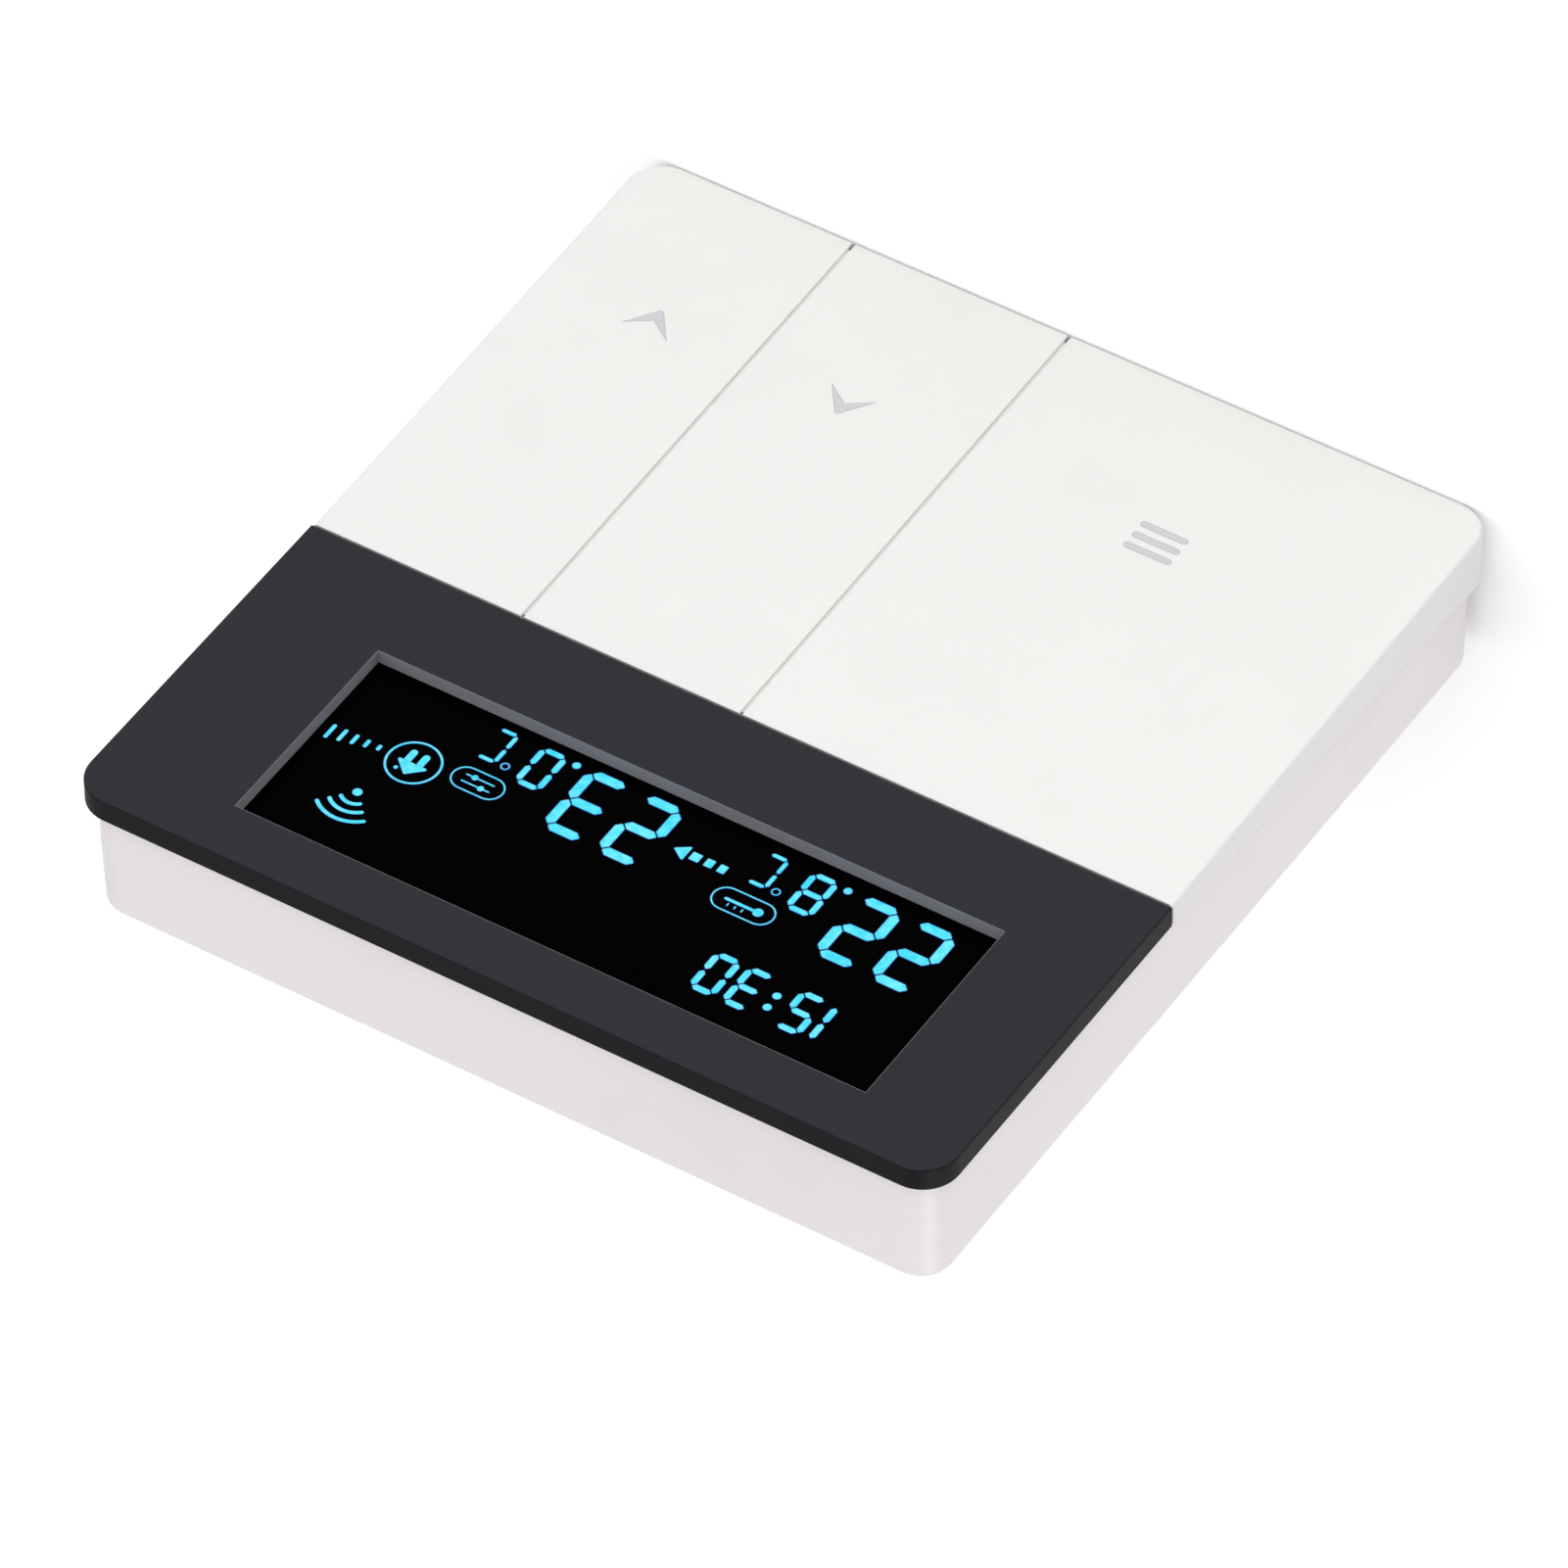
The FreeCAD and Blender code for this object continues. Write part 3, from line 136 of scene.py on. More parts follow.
class Finish:
    """One material: its shader, and every node that feeds it."""

    def __init__(self, name, constants):
        self.material = bpy.data.materials.new(name)
        self.material.use_nodes = True
        self.tree = self.material.node_tree
        self.shader = self.tree.nodes["Principled BSDF"]
        self.apply(constants)

    def node(self, kind, settings=None, values=None, output=0):
        """Any node: its type, its settings, then the values or links of its sockets."""
        made = self.tree.nodes.new(f"ShaderNode{kind}")
        for name, setting in (settings or {}).items():
            setattr(made, name, setting)
        for name, value in (values or {}).items():
            self.feed(made.inputs[name], value)
        return Field(self, made.outputs[output])

    def feed(self, socket, value):
        if isinstance(value, Field):
            self.tree.links.new(value.socket, socket)
        else:
            socket.default_value = value

    def apply(self, values):
        """Sets or links sockets of the shader itself."""
        for name, value in values.items():
            self.feed(self.shader.inputs[name], value)

    def colour(self):
        """What feeds the base colour so far."""
        return Field(self, self.shader.inputs["Base Color"].links[0].from_socket)

    def blend(self, first, second, share):
        """A colour between two others."""
        values = {0: share, 6: first, 7: second}
        return self.node("Mix", {"data_type": "RGBA"}, values, output=2)


def linear_light(part):
    """The amount of light that a coded value between 0 and 1 stands for."""
    if part <= 0.04045:
        return part / 12.92
    return ((part + 0.055) / 1.055) ** 2.4


def tint(code):
    """A colour written the way a paint chip is, as the linear numbers that light needs."""
    parts = [int(code[place : place + 2], 16) / 255 for place in (1, 3, 5)]
    return (*map(linear_light, parts), 1.0)


print("white paint reads", [round(part, 3) for part in tint("#f2f1ef")])

# %% [markdown]
# ## Patterns that every finish shares
# Moulded plastic isn't one flat colour. The tool leaves a fine grain, the melt leaves broad
# faint clouds, dust settles in specks, and edges polish with handling. Each of these is a
# short function of the object's own coordinates, in millimetres, so a pattern keeps its real
# size on every piece and needs no unwrapping.


# %% Grain, clouds, specks and worn edges
def cloud(finish, size, detail=2.0, stretch=(1, 1, 1)):
    """Soft noise between 0 and 1 in patches of about this size."""
    place = finish.node("TexCoord", output="Object")
    scaled = finish.node("VectorMath", {"operation": "MULTIPLY"}, {0: place, 1: stretch})
    values = {"Vector": scaled, "Scale": 1 / (size * MM), "Detail": detail}
    return finish.node("TexNoise", {}, values)


def specks(finish, spacing, radius, share):
    """1 on sparse round flecks and 0 between them."""
    place = finish.node("TexCoord", output="Object")
    values = {"Vector": place, "Scale": 1 / (spacing * MM)}
    distance = finish.node("TexVoronoi", {}, values)
    chance = finish.node("SeparateColor", {}, {"Color": distance.beside("Color")})
    size = radius / spacing
    return distance.step(size, size * 0.4) * (chance > 1 - share)


def rounded_normal(finish, radius):
    """The normal as it would be if every sharp edge had a small radius."""
    return finish.node("Bevel", {"samples": 6}, {"Radius": radius * MM})


def edges(finish, normal, sharpness):
    """1 where the rounded normal leans away from the flat face."""
    flat = finish.node("NewGeometry", output="True Normal")
    values = {0: normal, 1: flat}
    match = finish.node("VectorMath", {"operation": "DOT_PRODUCT"}, values, output="Value")
    return (1 - match).step(0, sharpness)


def relief(finish, height, depth, normal=None):
    """Turns a height between 0 and 1 into a normal, for a relief of this depth."""
    values = {"Height": height, "Distance": depth * MM}
    if normal:
        values["Normal"] = normal
    return finish.node("Bump", {}, values)


# %% [markdown]
# ## The moulded plastics
# The housing, the keys and the panel are injection mouldings with a spark-eroded texture. A
# scanned texture would show that, and so would a displaced mesh. A bump from fine noise is
# enough at this size. The edges get a rounded normal, because a real tool never leaves a
# knife edge, and a paler line that is partly wear and partly a painted highlight. The keys and
# the panel are the same recipe with a change on some of their faces: each change is a mask
# between 0 and 1, made from where a face looks or where it lies, and the mask blends one more
# colour over the first. These changes are painted shade on the keys' outer skirts and the
# panel's sides, and painted light on the window's cut edge.


# %% One recipe for moulded plastic
EDGE_RADIUS = 0.14


def moulded(name, colour, deep, edge, roughness, grain, specular=0.5, wear_and_highlight_range=(0.25, 0.65)):
    """Satin plastic: base colour, the colour of its clouds, its edges, and its grain.

    An edge turns to its paler colour, part wear and part painted highlight, between the two
    values of a broad noise.
    """
    finish = Finish(name, {"Specular IOR Level": specular})
    soft = rounded_normal(finish, EDGE_RADIUS)
    # Wear and painted highlight: edges are blended towards a paler colour.
    edge_wear_and_highlight = edges(finish, soft, 0.3) * cloud(finish, 1.5).step(*wear_and_highlight_range)
    body = finish.blend(tint(colour), tint(deep), cloud(finish, 14, detail=4).step(0.4, 0.75))
    flecked = finish.blend(body, tint(deep), cloud(finish, grain * 4).step(0.55, 0.8) * 0.5)
    height = cloud(finish, grain, detail=3) + cloud(finish, grain * 3, detail=1) * 0.5
    finish.apply({
        "Base Color": finish.blend(flecked, tint(edge), edge_wear_and_highlight * 0.8),
        "Roughness": roughness + cloud(finish, 6, detail=5) * 0.08 + cloud(finish, grain) * 0.06,
        "Normal": relief(finish, height, grain * 0.05, soft),
    })
    return finish


def make_housing_white():
    # The housing's near-white edge colour reaches almost every edge, so it is mostly a painted
    # highlight.
    return moulded("housing_white", "#d1cdcc", "#cfcaca", "#fbf8f7", 0.36, 0.16, wear_and_highlight_range=(0.0, 0.3))


# %% Which faces of a moulding get painted shade or painted light
SKIRT = 0.7
GLASS_MARGIN = 1.2
WALL_SLACK = 0.04


def place_on_object(finish):
    """How far right, and with beside how far back and up, a point lies, in metres."""
    place = finish.node("TexCoord", output="Object")
    return finish.node("SeparateXYZ", {}, {"Vector": place})


def facing_front(finish):
    """1 where the flat face looks out of the wall, and 0 on the sides."""
    flat = finish.node("NewGeometry", output="True Normal")
    lean = finish.node("SeparateXYZ", {}, {"Vector": flat})
    return (0 - lean.beside("Y")).step(0.5, 0.95)


def painted_skirt_shade(finish):
    """1 on the outer key sides, where painted shade goes, and 0 in the grooves between them."""
    right = place_on_object(finish)
    outer = abs(right) > cad_box[1][0] - SKIRT * MM
    lower = 0 - right.beside("Z") > SKIRT * MM * -1 - cad_box[0][2]
    return (outer + lower) * (1 - facing_front(finish))


def painted_wall_light(finish):
    """1 on the cut edge of the window, where painted light goes, and 0 elsewhere on the panel."""
    low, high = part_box("lcd_glass")
    margin = Vector((GLASS_MARGIN, GLASS_MARGIN, GLASS_MARGIN)) * MM
    middle = (low + high) / 2
    reach = (high - low) / 2 - margin
    right = place_on_object(finish)
    past_side = abs(right - middle.x) > reach.x + WALL_SLACK * MM
    past_end = abs(right.beside("Z") - middle.z) > reach.z + WALL_SLACK * MM
    return (1 - past_side) * (1 - past_end)


# %% Keys and panel
def make_key_white():
    """White, with painted shade that makes the outer skirts darker than the faces."""
    finish = moulded("key_white", "#dddcda", "#dbdad8", "#e8e7e4", 0.4, 0.12)
    colour = finish.colour()
    # Painted shade: the outer skirts take a darker white, as if their sides were in shade.
    finish.apply({"Base Color": finish.blend(colour, tint("#cecbcb"), painted_skirt_shade(finish))})
    return finish


def make_panel_dark():
    """Dark grey with painted shade on its sides and painted light on the window edge,
    nicked front edges, and a few grains of dust.
    """
    finish = moulded(
        "panel_dark", "#27272c", "#25262b", "#3f3f45", 0.46, 0.12, specular=0.1, wear_and_highlight_range=(0.35, 0.7)
    )
    colour = finish.colour()
    soft = rounded_normal(finish, 0.1)
    nicks = edges(finish, soft, 0.15) * cloud(finish, 0.35, detail=4).step(0.58, 0.7)
    dust = specks(finish, 4.2, 0.11, 0.22) + specks(finish, 1.7, 0.05, 0.06)
    # Painted shade: faces that don't look out of the wall take a near-black, darker than the front.
    painted_side_shade = finish.blend(tint("#0c0d11"), colour, facing_front(finish))
    marked = finish.blend(painted_side_shade, tint("#a5a5aa"), nicks * 0.7 + dust * 0.8)
    # Painted light: the window's cut edge takes a paler grey, as if lit.
    finish.apply({"Base Color": finish.blend(marked, tint("#78787f"), painted_wall_light(finish))})
    return finish


# %% Plastics of the parts inside
def make_black_plastic():
    return moulded("black_plastic", "#1d1d1f", "#222224", "#3a3a3c", 0.5, 0.2)


def make_plunger_plastic():
    return moulded("plunger_plastic", "#232326", "#1d1d20", "#3c3c40", 0.38, 0.1)


def make_terminal_green():
    return moulded("terminal_green", "#2f8a55", "#287c4b", "#63b284", 0.42, 0.2)


def make_relay_blue():
    return moulded("relay_blue", "#2a5f9c", "#255489", "#5b8cc4", 0.3, 0.3)


# %% [markdown]
# ## Glass, light and film
# The display is two sheets of glass with a black mask between them, so it reads as a deep
# black with a thin reflection. A strong mirror would hide that, so its specular level is low
# and only faint smears change its roughness. The lit segments are separate thin plates that
# glow, because a segment is a real shape in the real display.


# %% Display finishes
def make_display_glass():
    finish = Finish("display_glass", {"Specular IOR Level": 0.004})
    smear = cloud(finish, 9, detail=6, stretch=(1, 1, 3))
    finish.apply({
        "Base Color": finish.blend(tint("#010101"), tint("#020202"), smear),
        "Roughness": 0.1 + smear * 0.12,
        "Normal": relief(finish, cloud(finish, 25, detail=1), 0.004),
    })
    return finish


def make_lit_segment():
    """Cyan light: the mesh says how far a point is from the rim, and noise makes it uneven."""
    finish = Finish("lit_segment", {"Roughness": 0.5, "Emission Strength": 1.0})
    rim = finish.node("Attribute", {"attribute_name": "rim"}, output="Fac")
    tone = finish.node("Attribute", {"attribute_name": "tone"}, output="Fac")
    uneven = cloud(finish, 0.7, detail=3).step(0.3, 0.7)
    core = finish.blend(tint("#0cd4f0"), tint("#74f2fa"), uneven * 0.55 + tone * 0.3)
    finish.apply({
        "Base Color": tint("#03222c"),
        "Emission Color": finish.blend(tint("#011a96"), core, rim.step(0.05, 0.95)),
    })
    return finish


def make_light_guide():
    """Milky acrylic with the printed dots that scatter its light."""
    finish = Finish("light_guide", {"IOR": 1.49})
    dots = specks(finish, 0.8, 0.22, 1.0)
    finish.apply({
        "Base Color": finish.blend(tint("#dfeaec"), tint("#ffffff"), dots),
        "Roughness": 0.2 + dots * 0.4,
        "Normal": relief(finish, dots, 0.02),
    })
    return finish


def make_led_package():
    finish = Finish("led_package", {"Roughness": 0.35})
    body = finish.blend(tint("#efe9c8"), tint("#f6f4ea"), cloud(finish, 0.6).step(0.4, 0.6))
    finish.apply({"Base Color": body, "Normal": relief(finish, cloud(finish, 0.2), 0.01)})
    return finish


def make_adhesive_film():
    """Black foam tape, whose cut cells show at its edges."""
    finish = Finish("adhesive_film", {"Specular IOR Level": 0.3})
    cells = finish.node("TexVoronoi", {}, {
        "Vector": finish.node("TexCoord", output="Object"),
        "Scale": 1 / (0.25 * MM),
    })
    finish.apply({
        "Base Color": finish.blend(tint("#1a1a1b"), tint("#2c2c2d"), cells),
        "Roughness": 0.7 + cells * 0.2,
        "Normal": relief(finish, cells, 0.05),
    })
    return finish


def make_insulating_film():
    """Pale pressed fibre sheet, with fibres that run along it."""
    finish = Finish("insulating_film", {"Specular IOR Level": 0.35})
    fibre = cloud(finish, 0.5, detail=6, stretch=(0.15, 1, 1))
    finish.apply({
        "Base Color": finish.blend(tint("#cfc8ae"), tint("#e6e0c9"), fibre.step(0.3, 0.7)),
        "Roughness": 0.55 + fibre * 0.2,
        "Normal": relief(finish, fibre, 0.02),
    })
    return finish


# %% [markdown]
# ## Metals
# Screws are zinc plated, and so is the hinge rod. Pins, clamps and the radio's shield are
# tinned. Both metals are fully metallic with a satin roughness. The zinc has large faint
# crystals, and the tin has fine drawn lines.


# %% Metal finishes
def make_plated_steel():
    finish = Finish("plated_steel", {"Metallic": 1.0})
    crystals = finish.node("TexVoronoi", {}, {
        "Vector": finish.node("TexCoord", output="Object"),
        "Scale": 1 / (0.7 * MM),
    })
    shade = finish.node("SeparateColor", {}, {"Color": crystals.beside("Color")})
    soft = rounded_normal(finish, 0.06)
    finish.apply({
        "Base Color": finish.blend(tint("#a9adb0"), tint("#c4c8ca"), shade),
        "Roughness": 0.26 + shade * 0.14,
        "Normal": relief(finish, cloud(finish, 0.2), 0.006, soft),
    })
    return finish


def make_tinned_metal():
    finish = Finish("tinned_metal", {"Metallic": 1.0})
    drawn = cloud(finish, 0.12, detail=4, stretch=(0.1, 1, 1))
    soft = rounded_normal(finish, 0.06)
    finish.apply({
        "Base Color": finish.blend(tint("#b9b8b2"), tint("#d9d8d3"), drawn),
        "Roughness": 0.25 + drawn * 0.2,
        "Normal": relief(finish, drawn, 0.008, soft),
    })
    return finish


# %% [markdown]
# ## Boards and the parts on them
# A circuit board is glass cloth under a coloured solder mask. Copper tracks stand up a little
# under the mask and look lighter. A cell pattern measured along the axes gives the square
# corners that tracks have, and sparse round flecks stand for plated holes.


# %% Board finishes
def solder_mask(name, mask, track):
    """Glossy coloured lacquer over tracks and plated holes."""
    finish = Finish(name, {})
    place = finish.node("TexCoord", output="Object")
    settings = {"feature": "F1", "distance": "CHEBYCHEV"}
    cells = finish.node("TexVoronoi", settings, {"Vector": place, "Scale": 1 / (3.2 * MM)})
    copper = cells.step(0.36, 0.38) * cells.step(0.46, 0.44)
    holes = specks(finish, 2.54, 0.34, 0.35)
    cloth = cloud(finish, 0.35, detail=1, stretch=(1, 1, 0.4))
    green = finish.blend(tint(mask), tint(track), copper * 0.8 + cloth * 0.15)
    finish.apply({
        "Base Color": finish.blend(green, tint("#c9c2a8"), holes),
        "Metallic": holes * 0.9,
        "Roughness": 0.28 + cloth * 0.1,
        "Normal": relief(finish, copper + holes, 0.04),
    })
    return finish


def make_circuit_board():
    return solder_mask("circuit_board", "#0f5a34", "#1c7c4a")


def make_module_board():
    return solder_mask("module_board", "#14244c", "#243c74")


def make_chip_plastic():
    return moulded("chip_plastic", "#1c1c1d", "#232324", "#343436", 0.55, 0.09)


def glossy(name, colour, deep, roughness, ripple):
    """A dipped or shrunk coat: glossy, with slow ripples."""
    finish = Finish(name, {"Coat Roughness": 0.1})
    slow = cloud(finish, 2.5, detail=3)
    finish.apply({
        "Base Color": finish.blend(tint(colour), tint(deep), slow.step(0.3, 0.7)),
        "Roughness": roughness + slow * 0.1,
        "Coat Weight": 0.3 + slow * 0.2,
        "Normal": relief(finish, slow, ripple),
    })
    return finish


def make_sensor_epoxy():
    return glossy("sensor_epoxy", "#161617", "#202022", 0.25, 0.05)


def make_capacitor_sleeve():
    return glossy("capacitor_sleeve", "#1b1b26", "#262633", 0.28, 0.03)


def make_varistor_blue():
    return glossy("varistor_blue", "#24539a", "#1c437f", 0.35, 0.08)


def make_ferrite():
    """Sintered grey ceramic with small pits, which are painted darker as shade."""
    finish = Finish("ferrite", {"Specular IOR Level": 0.4})
    pits = specks(finish, 0.5, 0.12, 0.4)
    body = finish.blend(tint("#4b4b4d"), tint("#3d3d40"), cloud(finish, 1.2, detail=4))
    finish.apply({
        # Painted shade: the pits take a darker grey.
        "Base Color": finish.blend(body, tint("#262628"), pits),
        "Roughness": 0.55 + cloud(finish, 0.8) * 0.15,
        "Normal": relief(finish, 1 - pits, 0.03),
    })
    return finish


def make_fuse_case():
    return moulded("fuse_case", "#6a4f37", "#5c432e", "#8d7055", 0.45, 0.18)


# %% [markdown]
# ## Every piece gets its finish
# In the real product one plastic or metal serves several pieces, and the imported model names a
# slot for each. So a finish is made once, under its slot's name, and every piece looks it up.

# %% Give every node the finish of its slot
MAKERS = (
    make_adhesive_film,
    make_black_plastic,
    make_capacitor_sleeve,
    make_chip_plastic,
    make_circuit_board,
    make_display_glass,
    make_ferrite,
    make_fuse_case,
    make_housing_white,
    make_insulating_film,
    make_key_white,
    make_led_package,
    make_light_guide,
    make_lit_segment,
    make_module_board,
    make_panel_dark,
    make_plated_steel,
    make_plunger_plastic,
    make_relay_blue,
    make_sensor_epoxy,
    make_terminal_green,
    make_tinned_metal,
    make_varistor_blue,
)
slots = {row["slot"] for row in frame["record"]["materials"]}
finishes = {maker.__name__.removeprefix("make_"): maker() for maker in MAKERS}
for row in frame["record"]["subparts"]:
    surface = nodes[row["node"]].data
    surface.materials.clear()
    surface.materials.append(finishes[row["material_slot"]].material)
print(f"{len(finishes)} finishes for {len(slots)} slots; missing: {sorted(slots - set(finishes))}")

# %% [markdown]
# ## Shapes drawn on a face
# A lit segment, an icon and a printed mark are all flat shapes with a soft rim. Text objects
# or images could show them, but a mesh keeps its edge at any distance. Each shape is a core
# with bands around it, and a value on every point says how far the point is from the rim.
# A drawing is laid on its face by dropping every point straight back onto the real surface.


# %% The drawing tool
ARC_STEPS = 5
CAP_STEPS = 8
DISC_STEPS = 28
SHARPEST = 0.12
SHARPEST_BEND = 0.3


def turned(vector, angle):
    return Vector((
        vector.x * math.cos(angle) - vector.y * math.sin(angle),
        vector.x * math.sin(angle) + vector.y * math.cos(angle),
    ))


def fan(centre, start, sweep, radius, steps):
    """Points on an arc about a centre, from one direction round by an angle."""
    return [centre + turned(start, sweep * step / steps) * radius for step in range(steps + 1)]


class Drawing:
    """Flat shapes, in millimetres right and up the face, gathered into one mesh."""

    def __init__(self, soft, seed):
        self.mesh = bmesh.new()
        self.rim = self.mesh.verts.layers.float.new("rim")
        self.tone = self.mesh.verts.layers.float.new("tone")
        self.soft = soft
        self.chance = random.Random(seed)
        self.shapes = 0

    def ring(self, points, rim, tone):
        verts = [self.mesh.verts.new((point.x, 0, point.y)) for point in points]
        for vert in verts:
            vert[self.rim] = rim
            vert[self.tone] = tone
        return verts

    def band(self, inner, outer):
        count = len(inner)
        for here in range(count):
            after = (here + 1) % count
            self.mesh.faces.new((inner[here], inner[after], outer[after], outer[here]))

    def plate(self, corners, radius):
        """A convex shape: the hull of some corners, grown by a radius."""
        corners = [Vector(corner) for corner in corners]
        tone = self.chance.random()
        rings = []
        for reach, rim in ((radius * 0.5, 1.0), (radius - self.soft, 1.0), (radius, 0.0)):
            rings.append(self.ring(self.outline(corners, reach), rim, tone))
        self.mesh.faces.new(rings[0])
        self.band(rings[0], rings[1])
        self.band(rings[1], rings[2])
        self.shapes += 1

    def outline(self, corners, reach):
        if len(corners) == 1:
            circle = fan(corners[0], Vector((1, 0)), math.tau, reach, DISC_STEPS)
            return circle[:-1]
        points = []
        count = len(corners)
        for here, corner in enumerate(corners):
            into = (corner - corners[here - 1]).normalized()
            out = (corners[(here + 1) % count] - corner).normalized()
            sweep = into.angle_signed(out) * -1 if count > 2 else math.pi
            start = Vector((into.y, -into.x))
            points += fan(corner, start, sweep, reach, ARC_STEPS)
        return points

    def patch(self, points):
        """Any closed outline, anticlockwise, with a rim of even width inside it."""
        tone = self.chance.random()
        count = len(points)
        inset = []
        for here, point in enumerate(points):
            into = (point - points[here - 1]).normalized()
            out = (points[(here + 1) % count] - point).normalized()
            along = (into + out).normalized()
            lean = self.soft / max(along.dot(into), SHARPEST)
            inset.append(point + Vector((-along.y, along.x)) * lean)
        outer = self.ring(points, 0.0, tone)
        inner = self.ring(inset, 1.0, tone)
        self.mesh.faces.new(inner)
        self.band(inner, outer)
        self.shapes += 1

    def line(self, points, width, closed=False):
        """A line of even width with round ends, or a closed loop."""
        points = [Vector(point) for point in points]
        tone = self.chance.random()
        half = width / 2
        count = len(points)
        sides = []
        for here in range(count):
            into = points[here] - points[here - 1] if closed or here else None
            out = points[(here + 1) % count] - points[here] if closed or here < count - 1 else None
            into = (into or out).normalized()
            out = (out or into).normalized()
            along = (into + out).normalized()
            lean = 1 / max(along.dot(into), SHARPEST_BEND)
            sides.append(Vector((-along.y, along.x)) * lean)
        reaches = ((half, 0.0), (half - self.soft, 1.0), (-half + self.soft, 1.0), (-half, 0.0))
        rows = [
            self.ring([point + side * reach for point, side in zip(points, sides)], rim, tone)
            for reach, rim in reaches
        ]
        spans = range(count if closed else count - 1)
        for upper, lower in zip(rows, rows[1:]):
            for here in spans:
                after = (here + 1) % count
                self.mesh.faces.new((upper[here], lower[here], lower[after], upper[after]))
        if not closed:
            self.cap(points[-1], sides[-1], -math.pi, half, [row[-1] for row in rows], tone)
            self.cap(points[0], sides[0], math.pi, half, [row[0] for row in rows], tone)
        self.shapes += 1

    def cap(self, centre, side, sweep, half, ends, tone):
        """A half disc that closes a line at one end."""
        outer = self.ring(fan(centre, side, sweep, half, CAP_STEPS)[1:-1], 0.0, tone)
        inside = fan(centre, side, sweep, half - self.soft, CAP_STEPS)
        inner = self.ring(inside[1:-1], 1.0, tone)
        outer = [ends[0], *outer, ends[3]]
        inner = [ends[1], *inner, ends[2]]
        for here in range(len(outer) - 1):
            self.mesh.faces.new((outer[here], inner[here], inner[here + 1], outer[here + 1]))
        self.mesh.faces.new(inner)

    def lay(self, name, node, lift, thick, finish, slot):
        """Drops the drawing onto a node's front and gives it a small thickness."""
        face = nodes[node]
        tree = BVHTree.FromPolygons(
            [vert.co for vert in face.data.vertices], [part.vertices for part in face.data.polygons]
        )
        for vert in self.mesh.verts:
            start = Vector((vert.co.x * MM, -1.0, vert.co.z * MM))
            hit = tree.ray_cast(start, Vector((0, 1, 0)))[0]
            vert.co = (start.x, hit.y - lift * MM, start.z)
        for part in self.mesh.faces:
            part.normal_update()
            if part.normal.y > 0:
                part.normal_flip()
        data = bpy.data.meshes.new(name)
        self.mesh.to_mesh(data)
        self.mesh.free()
        piece = bpy.data.objects.new(name, data)
        bpy.context.scene.collection.objects.link(piece)
        data.materials.append(finish.material)
        solid = piece.modifiers.new("thickness", "SOLIDIFY")
        solid.thickness = thick * MM
        solid.offset = -1
        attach(piece, face["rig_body"])
        print(f"{name}: {self.shapes} shapes, {len(data.polygons)} faces, laid on {node}")
        return piece


# %% [markdown]
# ## Seven-segment figures
# A figure is seven bars with pointed ends, and a hair of dark between neighbours. One function
# places all seven in a cell and lights the ones a figure needs, so the clock, the large
# temperatures and the small tenths differ only in cell size and bar width.

# %% Figures
# Each bar's two ends, counted in cells right and up from the figure's lower left corner.
BARS = {
    "top": ((0, 2), (1, 2)),
    "middle": ((0, 1), (1, 1)),
    "bottom": ((0, 0), (1, 0)),
    "upper_left": ((0, 1), (0, 2)),
    "upper_right": ((1, 1), (1, 2)),
    "lower_left": ((0, 0), (0, 1)),
    "lower_right": ((1, 0), (1, 1)),
}
LIT = {
    "0": "top bottom upper_left upper_right lower_left lower_right",
    "1": "upper_right lower_right",
    "2": "top upper_right middle lower_left bottom",
    "3": "top upper_right middle lower_right bottom",
    "5": "top upper_left middle lower_right bottom",
    "8": "top middle bottom upper_left upper_right lower_left lower_right",
    "C": "top upper_left lower_left bottom",
}
# Cells in millimetres: how wide and how high a figure is, and how wide its bars are.
CLOCK_CELL = (2.7, 4.85, 0.68)
LARGE_CELL = (4.4, 8.05, 1.04)
TENTH_CELL = (2.75, 4.9, 0.64)
UNIT_CELL = (2.15, 4.05, 0.46)
GAP = 0.08
BAR_ROUND = 0.16


def figure(drawing, symbol, corner, cell):
    """Lights the bars of one figure, whose lower left corner and cell are given."""
    left, low = corner
    wide, high, bar = cell
    across = wide - bar
    up = (high - bar) / 2
    for name in LIT[symbol].split():
        (x0, z0), (x1, z1) = BARS[name]
        start = Vector((left + bar / 2 + x0 * across, low + bar / 2 + z0 * up))
        end = Vector((left + bar / 2 + x1 * across, low + bar / 2 + z1 * up))
        along = (end - start).normalized()
        side = Vector((-along.y, along.x))
        reach = bar / 2 - BAR_ROUND * bar
        tip = GAP / 2 + BAR_ROUND * bar * math.sqrt(2)
        shoulder = tip + reach
        corners = [
            start + along * tip,
            start + along * shoulder - side * reach,
            end - along * shoulder - side * reach,
            end - along * tip,
            end - along * shoulder + side * reach,
            start + along * shoulder + side * reach,
        ]
        drawing.plate(corners, BAR_ROUND * bar)


# %% [markdown]
# ## Where things sit in the window
# The glass reaches a little past the window on every side, under the panel. Everything lit is
# placed from the window's lower left corner, which is found from the glass and that margin.
# The lit area as a whole sits a little right of that and lower, so one shift moves all of it.

# %% The window's corner
LIT_AREA_SHIFT = Vector((0.16, -0.25))
LIT_LIFT = 0.06
LIT_THICK = 0.03

glass_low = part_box("lcd_glass")[0]
window = Vector((glass_low.x / MM + GLASS_MARGIN, glass_low.z / MM + GLASS_MARGIN))
print("window's lower left corner, mm:", [round(part, 2) for part in window])


def spot(right, up):
    """A place on the glass, in millimetres right and up from the window's corner."""
    return window + Vector((right, up)) + LIT_AREA_SHIFT


def lay_on_glass(drawing, name):
    """Lit shapes stand a hair in front of the glass, so that it never covers them."""
    finish = finishes["lit_segment"]
    return drawing.lay(name, "lcd_glass", LIT_LIFT, LIT_THICK, finish, "display_glass")


